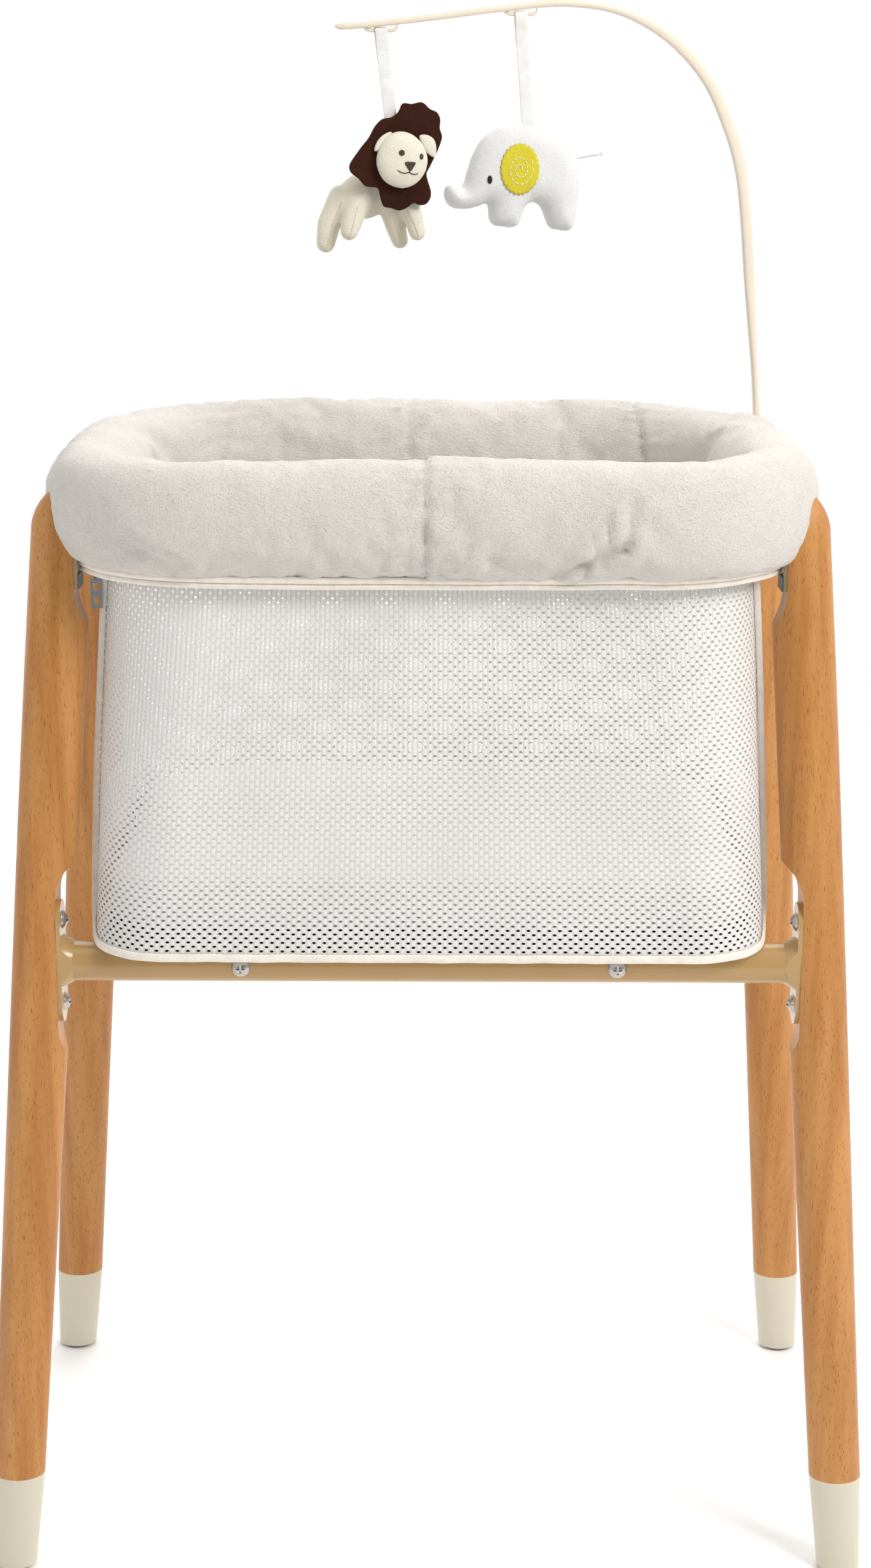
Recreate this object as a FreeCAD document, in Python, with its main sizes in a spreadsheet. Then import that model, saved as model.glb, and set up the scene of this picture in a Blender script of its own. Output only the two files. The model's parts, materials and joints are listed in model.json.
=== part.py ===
import FreeCAD, Part
import math
import os
import re

import Sketcher

os.makedirs("parts", exist_ok=True)
doc = FreeCAD.newDocument("bassinet_on_stand")
Vector = FreeCAD.Vector
Rotation = FreeCAD.Rotation

# ---------------------------------------------------------------- driving sizes, in millimetres
# The origin is on the floor, midway between the four feet.
# +X is to the right as seen from the front, +Y to the rear, +Z up.
SIZES = {
    # legs: each leans in towards the middle, both ways, from its foot up
    "foot_half_x": 339,
    "foot_half_y": 195,
    "lean_height": 850,
    "top_half_x": 282,
    "top_half_y": 130,
    "leg_knee_height": 330,
    "leg_waist_height": 590,
    "leg_shoulder_height": 848,
    "shoulder_radius": 40,
    "leg_foot_width": 35,
    "leg_foot_depth": 29,
    "leg_cap_width": 42,
    "leg_cap_depth": 35,
    "leg_knee_width": 45,
    "leg_knee_depth": 37,
    "leg_waist_width": 48,
    "leg_waist_depth": 38,
    "leg_top_width": 47,
    "leg_top_depth": 37,
    "cap_height": 82,
    "cap_wall": 4,
    "cap_floor": 9,
    "glide_height": 3,
    "glide_radius": 12,
    "lower_flat_cut": 13.233,
    "upper_flat_x": 272,
    "flat_run_out": 38,
    # lower rails, their end plates and the bars between them
    "rail_height": 511,
    # the flat for each rail's end plate follows the leg's lean
    "lower_flat_x": "=foot_half_x - (foot_half_x - top_half_x) * rail_height / lean_height - lower_flat_cut",
    "rail_half_y": 155,
    "rail_radius": 16,
    "tube_wall": 2,
    "flange_thick": 3.5,
    "flange_width": 32,
    "flange_tall": 100,
    "flange_screw_offset": 34,
    "flare_radius": 21,
    "flare_length": 9,
    "bar_half_x": 147.5,
    "bar_radius": 11,
    "plug_length": 20,
    # screws: domed cross-recessed heads on M6 shanks, in brass inserts
    "screw_radius": 3,
    "head_radius": 7.5,
    "head_height": 4.6,
    "recess_width": 1.6,
    "recess_depth": 2.2,
    "flange_screw_length": 22,
    "bar_screw_length": 50,
    "bracket_screw_length": 20,
    "insert_radius": 4.5,
    "insert_length": 17,
    "thread_gap": 0.05,
    "hole_gap": 0.4,
    # steel ring inside the padded rim: straighter at the front than at the rear
    "ring_half_x": 262,
    "ring_half_y": 192,
    "ring_front_corner": 105,
    "ring_rear_corner": 155,
    "ring_height": 872,
    "ring_tube_radius": 8,
    "ring_drain_radius": 1.5,
    "bracket_width": 26,
    "bracket_thick": 2.5,
    "bracket_low": 806,
    "bracket_screw_height": 825,
    "spacer_thick": 1.6,
    "spacer_tall": 11,
    # padded rim
    "rim_height": 868,
    "rim_half_width": 33.5,
    "rim_half_tall": 44.5,
    "cover_thick": 2,
    "soft_gap": 0.6,
    "piping_radius": 3,
    "rim_piping_offset": 14.8,
    "rim_piping_height": 824,
    # fabric basket
    "basket_top": 819.5,
    "basket_top_half_x": 251,
    "basket_top_half_y": 194,
    "basket_top_front_corner": 90,
    "basket_top_rear_corner": 140,
    "basket_half_x": 263,
    "basket_half_y": 200,
    "basket_front_corner": 60,
    "basket_rear_corner": 100,
    "fabric_thick": 1.5,
    "zip_y": 132,
    "zip_tape_width": 10,
    "zip_tape_proud": 1.2,
    "rear_seam_y": 95,
    "rest_gap": 0.3,
    "board_thick": 16,
    "board_inset": 10,
    "mattress_thick": 40,
    "mattress_inset": 13,
    # zip slider and its pull
    "slider_width": 7.6,
    "slider_thick": 5,
    "slider_tall": 11,
    "slider_ear": 1.4,
    "slider_gap": 1.25,
    "pull_width": 9,
    "pull_offset": 0.9,
    "pull_thick": 1.6,
    "pull_length": 28,
    "pull_pin_radius": 0.9,
    "pull_pin_gap": 0.05,
    # mobile arm and its socket on the ring
    "arm_base_x": 272.5,
    "arm_base_y": 80,
    "arm_turn": 192.7,
    "arm_reach": 357,
    "arm_rise": 337,
    "arm_base_height": 905,
    "pin_radius": 4,
    "pin_gap": 0.06,
    "socket_wall": 2.6,
    "socket_low": 842,
    "socket_high": 899,
    "clamp_long": 34,
    "clamp_wide": 30,
    "clamp_tall": 14,
    # hanging loops, ribbons and toys
    "lion_reach": 321,
    "elephant_reach": 208.6,
    "loop_bar_radius": 1.5,
    "loop_drop": 6,
    "loop_width": 18,
    "loop_post": 3,
    "ribbon_width": 10,
    "ribbon_thick": 0.9,
    "ribbon_loop_gap": 0.4,
    "lion_ribbon_length": 66,
    "elephant_ribbon_length": 74,
}

sheet = doc.addObject("Spreadsheet::Sheet", "sizes")
for row, (alias, number) in enumerate(SIZES.items(), start=1):
    sheet.set(f"A{row}", alias)
    sheet.set(f"B{row}", str(number))
    sheet.setAlias(f"B{row}", alias)
doc.recompute()

ALIAS = re.compile(r"(?<![\w.])(" + "|".join(sorted(SIZES, key=len, reverse=True)) + r")(?!\w)")


def value(rule):
    """The number that a rule over the sheet's aliases gives now."""
    answer = sheet.evalExpression(rule) if isinstance(rule, str) else rule
    return float(getattr(answer, "Value", answer))


def bind(thing, rules):
    """Ties properties to the sheet: {property: rule over its aliases}."""
    for prop, rule in rules.items():
        thing.setExpression(prop, ALIAS.sub(r"sizes.\1", str(rule)))
    return thing


def place(thing, x=0, y=0, z=0, axis=None, angle=0):
    if axis is not None:
        thing.Placement.Rotation = Rotation(Vector(*axis), angle)
    bind(thing, {"Placement.Base.x": x, "Placement.Base.y": y, "Placement.Base.z": z})
    return thing


def add(kind, name, **settings):
    thing = doc.addObject(kind, name)
    for prop, setting in settings.items():
        setattr(thing, prop, setting)
    return thing


TOWARDS = {"x": ((0, 1, 0), 90), "y": ((1, 0, 0), -90), "z": (None, 0)}
MIRROR = {"x": Vector(1, 0, 0), "y": Vector(0, 1, 0)}
nodes = {}


def node(name, thing):
    """Makes a document object a sub-part: its Label is the name of its file."""
    thing.Label = name
    nodes[name] = thing
    return thing


# ---------------------------------------------------------------- short forms of common shapes
def cylinder(name, radius, length, towards="z", x=0, y=0, z=0):
    """A cylinder from (x, y, z) along +X, +Y or +Z."""
    axis, angle = TOWARDS[towards]
    thing = place(add("Part::Cylinder", name), x, y, z, axis, angle)
    return bind(thing, {"Radius": radius, "Height": length})


def box(name, long, wide, tall, x=0, y=0, z=0):
    """A box whose lowest corner is at (x, y, z)."""
    thing = place(add("Part::Box", name), x, y, z)
    return bind(thing, {"Length": long, "Width": wide, "Height": tall})


def cut(name, base, tool):
    return add("Part::Cut", name, Base=base, Tool=tool)


def fuse(name, *things):
    return add("Part::MultiFuse", name, Shapes=list(things))


def common(name, first, second):
    return add("Part::Common", name, Base=first, Tool=second)


def mirror(name, thing, across):
    return add("Part::Mirroring", name, Source=thing, Normal=MIRROR[across])


def four_corners(name, thing):
    """One object and its mirror images, by corner of the stand."""
    front_left = mirror(name + "_fl", thing, "x")
    return {
        "front_right": thing,
        "front_left": front_left,
        "rear_right": mirror(name + "_rr", thing, "y"),
        "rear_left": mirror(name + "_rl", front_left, "y"),
    }


def group_of_four(name, thing):
    return add("Part::Compound", name + "_group", Links=list(four_corners(name, thing).values()))


def rounded_outline(name, half_x, half_y, front_corner, rear_corner, height):
    """A rectangle with rounded corners about the Z axis, from the start of its front edge."""
    sketch = add("Sketcher::SketchObject", name)
    a, b, front, rear = (value(rule) for rule in (half_x, half_y, front_corner, rear_corner))
    corners = [
        (a - front, -(b - front), front, -90),
        (a - rear, b - rear, rear, 0),
        (-(a - rear), b - rear, rear, 90),
        (-(a - front), -(b - front), front, 180),
    ]
    starts = [Vector(-(a - front), -b), Vector(a, -(b - front)), Vector(a - rear, b), Vector(-a, b - rear)]
    ends = [Vector(a - front, -b), Vector(a, b - rear), Vector(-(a - rear), b), Vector(-a, -(b - front))]
    for start, end, (x, y, radius, first) in zip(starts, ends, corners):
        sketch.addGeometry(Part.LineSegment(start, end))
        circle = Part.Circle(Vector(x, y), Vector(0, 0, 1), radius)
        sketch.addGeometry(Part.ArcOfCircle(circle, math.radians(first), math.radians(first + 90)))
    for edge in range(8):
        following = (edge + 1) % 8
        sketch.addConstraint(Sketcher.Constraint("Tangent", edge, 2, following, 1))
    for edge, way in ((0, "Horizontal"), (2, "Vertical"), (4, "Horizontal"), (6, "Vertical")):
        sketch.addConstraint(Sketcher.Constraint(way, edge))
    sized = {
        "front_left_corner": (Sketcher.Constraint("Radius", 7, front), front_corner),
        "front_right_corner": (Sketcher.Constraint("Radius", 1, front), front_corner),
        "rear_right_corner": (Sketcher.Constraint("Radius", 3, rear), rear_corner),
        "rear_left_corner": (Sketcher.Constraint("Radius", 5, rear), rear_corner),
        "front": (Sketcher.Constraint("DistanceY", 0, 1, -1, 1, b), half_y),
        "right": (Sketcher.Constraint("DistanceX", -1, 1, 2, 1, a), half_x),
        "rear": (Sketcher.Constraint("DistanceY", -1, 1, 4, 1, b), half_y),
        "left": (Sketcher.Constraint("DistanceX", 6, 1, -1, 1, a), half_x),
    }
    for label, (constraint, rule) in sized.items():
        index = sketch.addConstraint(constraint)
        sketch.renameConstraint(index, label)
        bind(sketch, {f"Constraints.{label}": rule})
    return place(sketch, z=height)


def pad(name, outline, thick):
    """A flat piece as thick as the rule, up from its outline."""
    thing = add("Part::Extrusion", name, Base=outline, DirMode="Custom", Dir=Vector(0, 0, 1), Solid=True)
    return bind(thing, {"LengthFwd": thick})


def swept_round(name, outline, radius, height, half_x, half_y, front_corner):
    """A round cord or tube along a rounded outline."""
    section = add("Part::Circle", name + "_section")
    place(section, f"-({half_x} - {front_corner})", f"-({half_y})", height, (0, 1, 0), 90)
    bind(section, {"Radius": radius})
    return add("Part::Sweep", name, Sections=[section], Spine=(outline, []), Solid=True)


# ---------------------------------------------------------------- legs, foot caps and glides
LEAN_X = "(foot_half_x - (foot_half_x - top_half_x) * ({z}) / lean_height)"
LEAN_Y = "-(foot_half_y - (foot_half_y - top_half_y) * ({z}) / lean_height)"


def leg_section(name, height, width, depth, x=None):
    """A level oval section of the front right leg."""
    oval = add("Part::Ellipse", name)
    place(oval, x or LEAN_X.format(z=height), LEAN_Y.format(z=height), height)
    return bind(oval, {"MajorRadius": f"({width}) / 2", "MinorRadius": f"({depth}) / 2"})


def loft(name, sections):
    return add("Part::Loft", name, Sections=sections, Solid=True, Ruled=False)


def shoulder_sections(shoulder_angles):
    """The leg's top: its outer side rounds over in a quarter circle, its inner side stays."""
    sections = []
    inner = "(top_half_x - leg_top_width / 2)"
    outer = "(top_half_x + leg_top_width / 2)"
    for angle in shoulder_angles:
        height = f"leg_shoulder_height + shoulder_radius * sin({angle} deg)"
        reach = f"({outer} - shoulder_radius * (1 - cos({angle} deg)))"
        depth = f"leg_top_depth * (0.25 + 0.75 * cos({angle} deg))"
        name = f"shoulder_section_{angle}"
        width = f"({reach} - {inner})"
        sections.append(leg_section(name, height, width, depth, f"({reach} + {inner}) / 2"))
    return sections


def flat_tool(name, flat_x, low, high):
    """What is cut away to leave a flat on the leg's inner side, with round run-outs."""
    block = box(
        name + "_block",
        "2 * flat_run_out", "foot_half_y + leg_waist_depth", f"{high} - ({low})",
        f"{flat_x} - 2 * flat_run_out", "-(foot_half_y + leg_waist_depth)", low,
    )
    ends = [
        cylinder(
            f"{name}_{end}", "flat_run_out", "foot_half_y + leg_waist_depth", "y",
            f"{flat_x} - flat_run_out", "-(foot_half_y + leg_waist_depth)", height,
        )
        for end, height in (("low", low), ("high", high))
    ]
    return fuse(name, block, *ends)


def leg_holes():
    """Blind bores from the flats for the brass inserts."""
    bores = []
    for label, height in (("upper", "rail_height + flange_screw_offset"),
                          ("lower", "rail_height - flange_screw_offset")):
        bores.append(cylinder(f"leg_bore_{label}", "insert_radius", "insert_length + 6", "x",
                              "lower_flat_x - 1", "-rail_half_y", height))
    bores.append(cylinder("leg_bore_bracket", "insert_radius", "insert_length + 6", "x",
                          "upper_flat_x - 1", LEAN_Y.format(z="bracket_screw_height"),
                          "bracket_screw_height"))
    return fuse("leg_bores", *bores)


def build_legs():
    shoulder = shoulder_sections((0, 30, 58, 78))
    body = loft("leg_body", [
        leg_section("leg_at_cap", "cap_height", "leg_cap_width", "leg_cap_depth"),
        leg_section("leg_at_knee", "leg_knee_height", "leg_knee_width", "leg_knee_depth"),
        leg_section("leg_at_waist", "leg_waist_height", "leg_waist_width", "leg_waist_depth"),
        shoulder[0],
    ])
    top = loft("leg_top", shoulder)
    tenon = loft("leg_tenon", [
        leg_section("tenon_low", "glide_height + cap_floor",
                    "leg_foot_width - 2 * cap_wall", "leg_foot_depth - 2 * cap_wall"),
        leg_section("tenon_high", "cap_height",
                    "leg_cap_width - 2 * cap_wall", "leg_cap_depth - 2 * cap_wall"),
    ])
    lower = flat_tool("lower_flat", "lower_flat_x", "rail_height - flange_tall / 2 - 2",
                      "rail_height + flange_tall / 2 + 2")
    upper = flat_tool("upper_flat", "upper_flat_x", "bracket_low - 2",
                      "leg_shoulder_height + 2 * shoulder_radius")
    blank = fuse("leg_blank", body, top, tenon)
    shaped = cut("leg_shaped", blank, fuse("leg_flats", lower, upper))
    leg = cut("leg", shaped, leg_holes())
    for corner, thing in four_corners("leg", leg).items():
        node("leg_" + corner, thing)

    shell = loft("cap_shell", [
        leg_section("cap_low", "glide_height", "leg_foot_width", "leg_foot_depth"),
        leg_section("cap_high", "cap_height", "leg_cap_width", "leg_cap_depth"),
    ])
    cap = cut("cap", shell, tenon)
    for corner, thing in four_corners("cap", cap).items():
        node("foot_cap_" + corner, thing)
    glide = cylinder("glide", "glide_radius", "glide_height", "z",
                     LEAN_X.format(z="glide_height"), LEAN_Y.format(z="glide_height"))
    node("foot_glides", group_of_four("glide", glide))


# ---------------------------------------------------------------- screws and inserts
def screw(name, length):
    """A domed screw along local +X, its head's seat at the local origin."""
    body = add("PartDesign::Body", name)
    plane = next(item for item in body.Origin.OriginFeatures if item.Role == "XY_Plane")
    sketch = body.newObject("Sketcher::SketchObject", name + "_profile")
    sketch.AttachmentSupport = [(plane, "")]
    sketch.MapMode = "FlatFace"
    head, dome, shank, long = (value(rule) for rule in ("head_radius", "head_height", "screw_radius", length))
    rise = (head * head - dome * dome) / (2 * dome)
    circle = Part.Circle(Vector(rise, 0), Vector(0, 0, 1), rise + dome)
    start = math.pi - math.atan2(head, rise)
    corners = [Vector(0, head), Vector(0, shank), Vector(long, shank), Vector(long, 0), Vector(-dome, 0)]
    for first, second in zip(corners, corners[1:]):
        sketch.addGeometry(Part.LineSegment(first, second))
    sketch.addGeometry(Part.ArcOfCircle(circle, start, math.pi))
    for edge in range(3):
        sketch.addConstraint(Sketcher.Constraint("Coincident", edge, 2, edge + 1, 1))
    sketch.addConstraint(Sketcher.Constraint("Coincident", 3, 2, 4, 2))
    sketch.addConstraint(Sketcher.Constraint("Coincident", 4, 1, 0, 1))
    sketch.addConstraint(Sketcher.Constraint("PointOnObject", 4, 3, -1))
    sketch.addConstraint(Sketcher.Constraint("PointOnObject", 3, 2, -1))
    sketch.addConstraint(Sketcher.Constraint("PointOnObject", 2, 2, -1))
    sketch.addConstraint(Sketcher.Constraint("PointOnObject", 0, 1, -2))
    sketch.addConstraint(Sketcher.Constraint("Vertical", 0))
    sketch.addConstraint(Sketcher.Constraint("Horizontal", 1))
    sketch.addConstraint(Sketcher.Constraint("Vertical", 2))
    sized = {
        "head": (Sketcher.Constraint("DistanceY", -1, 1, 0, 1, head), "head_radius"),
        "shank": (Sketcher.Constraint("DistanceY", -1, 1, 0, 2, shank), "screw_radius"),
        "dome": (Sketcher.Constraint("DistanceX", 3, 2, -1, 1, dome), "head_height"),
        "length": (Sketcher.Constraint("DistanceX", -1, 1, 1, 2, long), length),
    }
    for label, (constraint, rule) in sized.items():
        index = sketch.addConstraint(constraint)
        sketch.renameConstraint(index, label)
        bind(sketch, {f"Constraints.{label}": rule})
    turned = body.newObject("PartDesign::Revolution", name + "_turned")
    turned.Profile = sketch
    turned.ReferenceAxis = (sketch, ["H_Axis"])
    turned.Angle = 360
    recess = fuse(
        name + "_recess",
        box(name + "_slot_a", "recess_depth", "recess_width", "head_radius",
            "-head_height", "-recess_width / 2", "-head_radius / 2"),
        box(name + "_slot_b", "recess_depth", "head_radius", "recess_width",
            "-head_height", "-head_radius / 2", "-recess_width / 2"),
    )
    return cut(name + "_crossed", body, recess)


def copy_at(name, thing, x, y, z, axis=None, angle=0):
    """The same shape at another place."""
    return place(add("Part::Compound", name, Links=[thing]), x, y, z, axis, angle)


def insert(name, x, y, z):
    """A brass sleeve in the leg, from the flat at x outwards."""
    outer = cylinder(name + "_outer", "insert_radius", "insert_length", "x", x, y, z)
    inner = cylinder(name + "_inner", "screw_radius + thread_gap", "insert_length", "x", x, y, z)
    return cut(name, outer, inner)


def build_fasteners():
    flange_screw = screw("flange_screw", "flange_screw_length")
    bar_screw = screw("bar_screw", "bar_screw_length")
    bracket_screw = screw("bracket_screw", "bracket_screw_length")
    bracket_y = LEAN_Y.format(z="bracket_screw_height")
    pair = add("Part::Compound", "flange_screw_pair", Links=[
        copy_at("flange_screw_high", flange_screw, "lower_flat_x - flange_thick",
                "-rail_half_y", "rail_height + flange_screw_offset"),
        copy_at("flange_screw_low", flange_screw, "lower_flat_x - flange_thick",
                "-rail_half_y", "rail_height - flange_screw_offset"),
    ])
    node("rail_flange_screws", group_of_four("flange_screw_pair", pair))
    upper = copy_at("bracket_screw_placed", bracket_screw, "upper_flat_x - bracket_thick",
                    bracket_y, "bracket_screw_height")
    node("ring_bracket_screws", group_of_four("bracket_screw_placed", upper))
    front = copy_at("bar_screw_front", bar_screw, "bar_half_x", "-(rail_half_y + rail_radius)",
                    "rail_height", (0, 0, 1), 90)
    node("cross_bar_screws", group_of_four("bar_screw_front", front))
    sleeves = add("Part::Compound", "leg_insert_set", Links=[
        insert("insert_high", "lower_flat_x", "-rail_half_y", "rail_height + flange_screw_offset"),
        insert("insert_low", "lower_flat_x", "-rail_half_y", "rail_height - flange_screw_offset"),
        insert("insert_bracket", "upper_flat_x", bracket_y, "bracket_screw_height"),
    ])
    node("leg_inserts", group_of_four("leg_insert_set", sleeves))


# ---------------------------------------------------------------- lower rails and cross bars
def build_rails():
    half = "(lower_flat_x - flange_thick)"
    outer = cylinder("rail_outer", "rail_radius", f"2 * {half}", "x", f"-{half}", "-rail_half_y",
                     "rail_height")
    inner = cylinder("rail_inner", "rail_radius - tube_wall", f"2 * {half}", "x",
                     f"-{half}", "-rail_half_y", "rail_height")
    holes = []
    for side, x in (("left", "-bar_half_x"), ("right", "bar_half_x")):
        holes.append(cylinder(f"rail_hole_{side}", "screw_radius + hole_gap", "3 * rail_radius", "y",
                              x, "-(rail_half_y + 1.5 * rail_radius)", "rail_height"))
    tube = cut("rail_tube", cut("rail_pipe", outer, inner), fuse("rail_holes", *holes))
    node("front_rail_tube", tube)
    node("rear_rail_tube", mirror("rail_tube_rear", tube, "y"))

    straight = "(flange_tall - flange_width)"
    plate = fuse(
        "flange_plate",
        box("flange_middle", "flange_thick", "flange_width", straight, half,
            "-(rail_half_y + flange_width / 2)", f"rail_height - {straight} / 2"),
        cylinder("flange_top", "flange_width / 2", "flange_thick", "x", half, "-rail_half_y",
                 f"rail_height + {straight} / 2"),
        cylinder("flange_bottom", "flange_width / 2", "flange_thick", "x", half, "-rail_half_y",
                 f"rail_height - {straight} / 2"),
    )
    flare = add("Part::Cone", "flange_flare")
    place(flare, f"{half} - flare_length", "-rail_half_y", "rail_height", (0, 1, 0), 90)
    bind(flare, {"Radius1": "rail_radius + thread_gap", "Radius2": "flare_radius", "Height": "flare_length"})
    keep = box("flare_keep", "flare_length", "flange_width", "3 * flare_radius", f"{half} - flare_length",
               "-(rail_half_y + flange_width / 2)", "rail_height - 1.5 * flare_radius")
    bore = cylinder("flare_bore", "rail_radius", "flare_length", "x", f"{half} - flare_length",
                    "-rail_half_y", "rail_height")
    collar = cut("flange_collar", flare, bore)
    blank = fuse("flange_blank", plate, common("flange_gussets", collar, keep))
    holes = [
        cylinder(f"flange_hole_{label}", "screw_radius + hole_gap", "2 * flange_thick", "x",
                 f"{half} - flange_thick / 2", "-rail_half_y", f"rail_height {sign} flange_screw_offset")
        for label, sign in (("high", "+"), ("low", "-"))
    ]
    flange = cut("flange", blank, fuse("flange_holes", *holes))
    corners = four_corners("flange", flange)
    for corner in ("front_left", "front_right", "rear_left", "rear_right"):
        end, side = corner.split("_")
        node(f"{end}_rail_flange_{side}", corners[corner])

    bar = cylinder("bar_outer", "bar_radius", "2 * rail_half_y", "y", "bar_half_x", "-rail_half_y",
                   "rail_height")
    bore = cylinder("bar_bore", "bar_radius - tube_wall", "2 * rail_half_y", "y",
                    "bar_half_x", "-rail_half_y", "rail_height")
    rails = fuse("rail_pair_outer", outer, mirror("rail_outer_rear", outer, "y"))
    right = cut("bar_right", cut("bar_pipe", bar, bore), rails)
    node("cross_bar_right", right)
    node("cross_bar_left", mirror("bar_left", right, "x"))
    plug_y = "-(rail_half_y - rail_radius - 1)"
    plug = cut(
        "bar_plug",
        cylinder("plug_outer", "bar_radius - tube_wall", "plug_length", "y", "bar_half_x", plug_y,
                 "rail_height"),
        cylinder("plug_bore", "screw_radius + thread_gap", "plug_length", "y", "bar_half_x", plug_y,
                 "rail_height"),
    )
    node("cross_bar_plugs", group_of_four("bar_plug", plug))


# ---------------------------------------------------------------- top ring, brackets, socket
def ring_outline(name, offset, height):
    return rounded_outline(name, f"ring_half_x + ({offset})", f"ring_half_y + ({offset})",
                           f"ring_front_corner + ({offset})", f"ring_rear_corner + ({offset})", height)


def ring_x_at(corner, y):
    """Half the ring's width where it passes a place on a corner."""
    return f"(ring_half_x - {corner} + sqrt({corner}^2 - (({y}) - ring_half_y + {corner})^2))"


def bracket(name, corner):
    """An angle of strip under the ring: a lug out to the leg and a tab down its flat."""
    y = f"(-{LEAN_Y.format(z='bracket_screw_height')})"
    inner = ring_x_at(corner, y)
    top = "ring_height - ring_tube_radius"
    lug = box(name + "_lug", f"upper_flat_x - {inner}", "bracket_width", "bracket_thick",
              inner, f"-{y} - bracket_width / 2", f"{top} - bracket_thick")
    tab = box(name + "_tab", "bracket_thick", "bracket_width", f"{top} - bracket_low",
              "upper_flat_x - bracket_thick", f"-{y} - bracket_width / 2", "bracket_low")
    hole = cylinder(name + "_hole", "screw_radius + hole_gap", "4 * bracket_thick", "x",
                    "upper_flat_x - 2 * bracket_thick", f"-{y}", "bracket_screw_height")
    return cut(name, fuse(name + "_blank", lug, tab), hole)


def build_ring():
    outline = ring_outline("ring_path", "0", "ring_height")
    path = ("ring_half_x", "ring_half_y", "ring_front_corner")
    solid = swept_round("ring_solid", outline, "ring_tube_radius", "ring_height", *path)
    hollow = swept_round("ring_hollow", outline, "ring_tube_radius - tube_wall", "ring_height", *path)
    drain = cylinder("ring_drain", "ring_drain_radius", "ring_tube_radius", "z", 0, "ring_half_y",
                     "ring_height - 1.5 * ring_tube_radius")
    node("top_ring", cut("ring_tube", cut("ring_pipe", solid, hollow), drain))

    front = bracket("bracket_front_right", "ring_front_corner")
    node("ring_bracket_front_right", front)
    node("ring_bracket_front_left", mirror("bracket_front_left", front, "x"))
    rear_low = bracket("bracket_rear_master", "ring_rear_corner")
    rear = mirror("bracket_rear_right", rear_low, "y")
    node("ring_bracket_rear_right", rear)
    node("ring_bracket_rear_left", mirror("bracket_rear_left", rear, "x"))
    spacer = box("spacer", "spacer_thick", "bracket_width - 4", "spacer_tall",
                 "upper_flat_x - bracket_thick - spacer_thick",
                 LEAN_Y.format(z="bracket_screw_height") + " - bracket_width / 2 + 2", "bracket_low")
    node("bracket_spacers", group_of_four("spacer", spacer))
    return solid


def build_socket(ring):
    """A moulded clamp in two halves round the ring, with the mobile arm's socket on it."""
    low_x = "arm_base_x - clamp_long + pin_radius + socket_wall"
    low_y = "arm_base_y - clamp_wide / 2"
    upper = box("clamp_upper_block", "clamp_long - pin_radius - socket_wall", "clamp_wide", "clamp_tall",
                low_x, low_y, "ring_height + 0.25")
    lower = box("clamp_lower_block", "clamp_long - 2 * (pin_radius + socket_wall) - 1", "clamp_wide",
                "clamp_tall", low_x, low_y, "ring_height - 0.25 - clamp_tall")
    sleeve = cylinder("socket_sleeve", "pin_radius + pin_gap + socket_wall", "socket_high - socket_low", "z",
                      "arm_base_x", "arm_base_y", "socket_low")
    bore = cylinder("socket_bore", "pin_radius + pin_gap", "socket_high - socket_low", "z",
                    "arm_base_x", "arm_base_y", "socket_low + socket_wall")
    socket = cut("socket_cut", cut("socket_blank", fuse("socket_block", upper, sleeve), bore), ring)
    node("arm_socket", socket)
    sleeve_room = cylinder("sleeve_room", "pin_radius + pin_gap + socket_wall + 0.1",
                           "socket_high - socket_low", "z", "arm_base_x", "arm_base_y", "socket_low")
    cap = cut("clamp_cap_cut", cut("clamp_cap_blank", lower, ring), sleeve_room)
    node("arm_clamp_cap", cap)
    return fuse("socket_envelope", socket, cap)


# ---------------------------------------------------------------- padded rim
def rim_roll(name, outline, inset):
    """The rim's oval roll along the ring, smaller by an inset."""
    section = add("Part::Ellipse", name + "_section")
    place(section, "-(ring_half_x - ring_front_corner)", "-ring_half_y", "rim_height", (0, 1, 0), -90)
    bind(section, {"MajorRadius": f"rim_half_tall - {inset}", "MinorRadius": f"rim_half_width - {inset}"})
    return add("Part::Sweep", name, Sections=[section], Spine=(outline, []), Solid=True)


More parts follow.
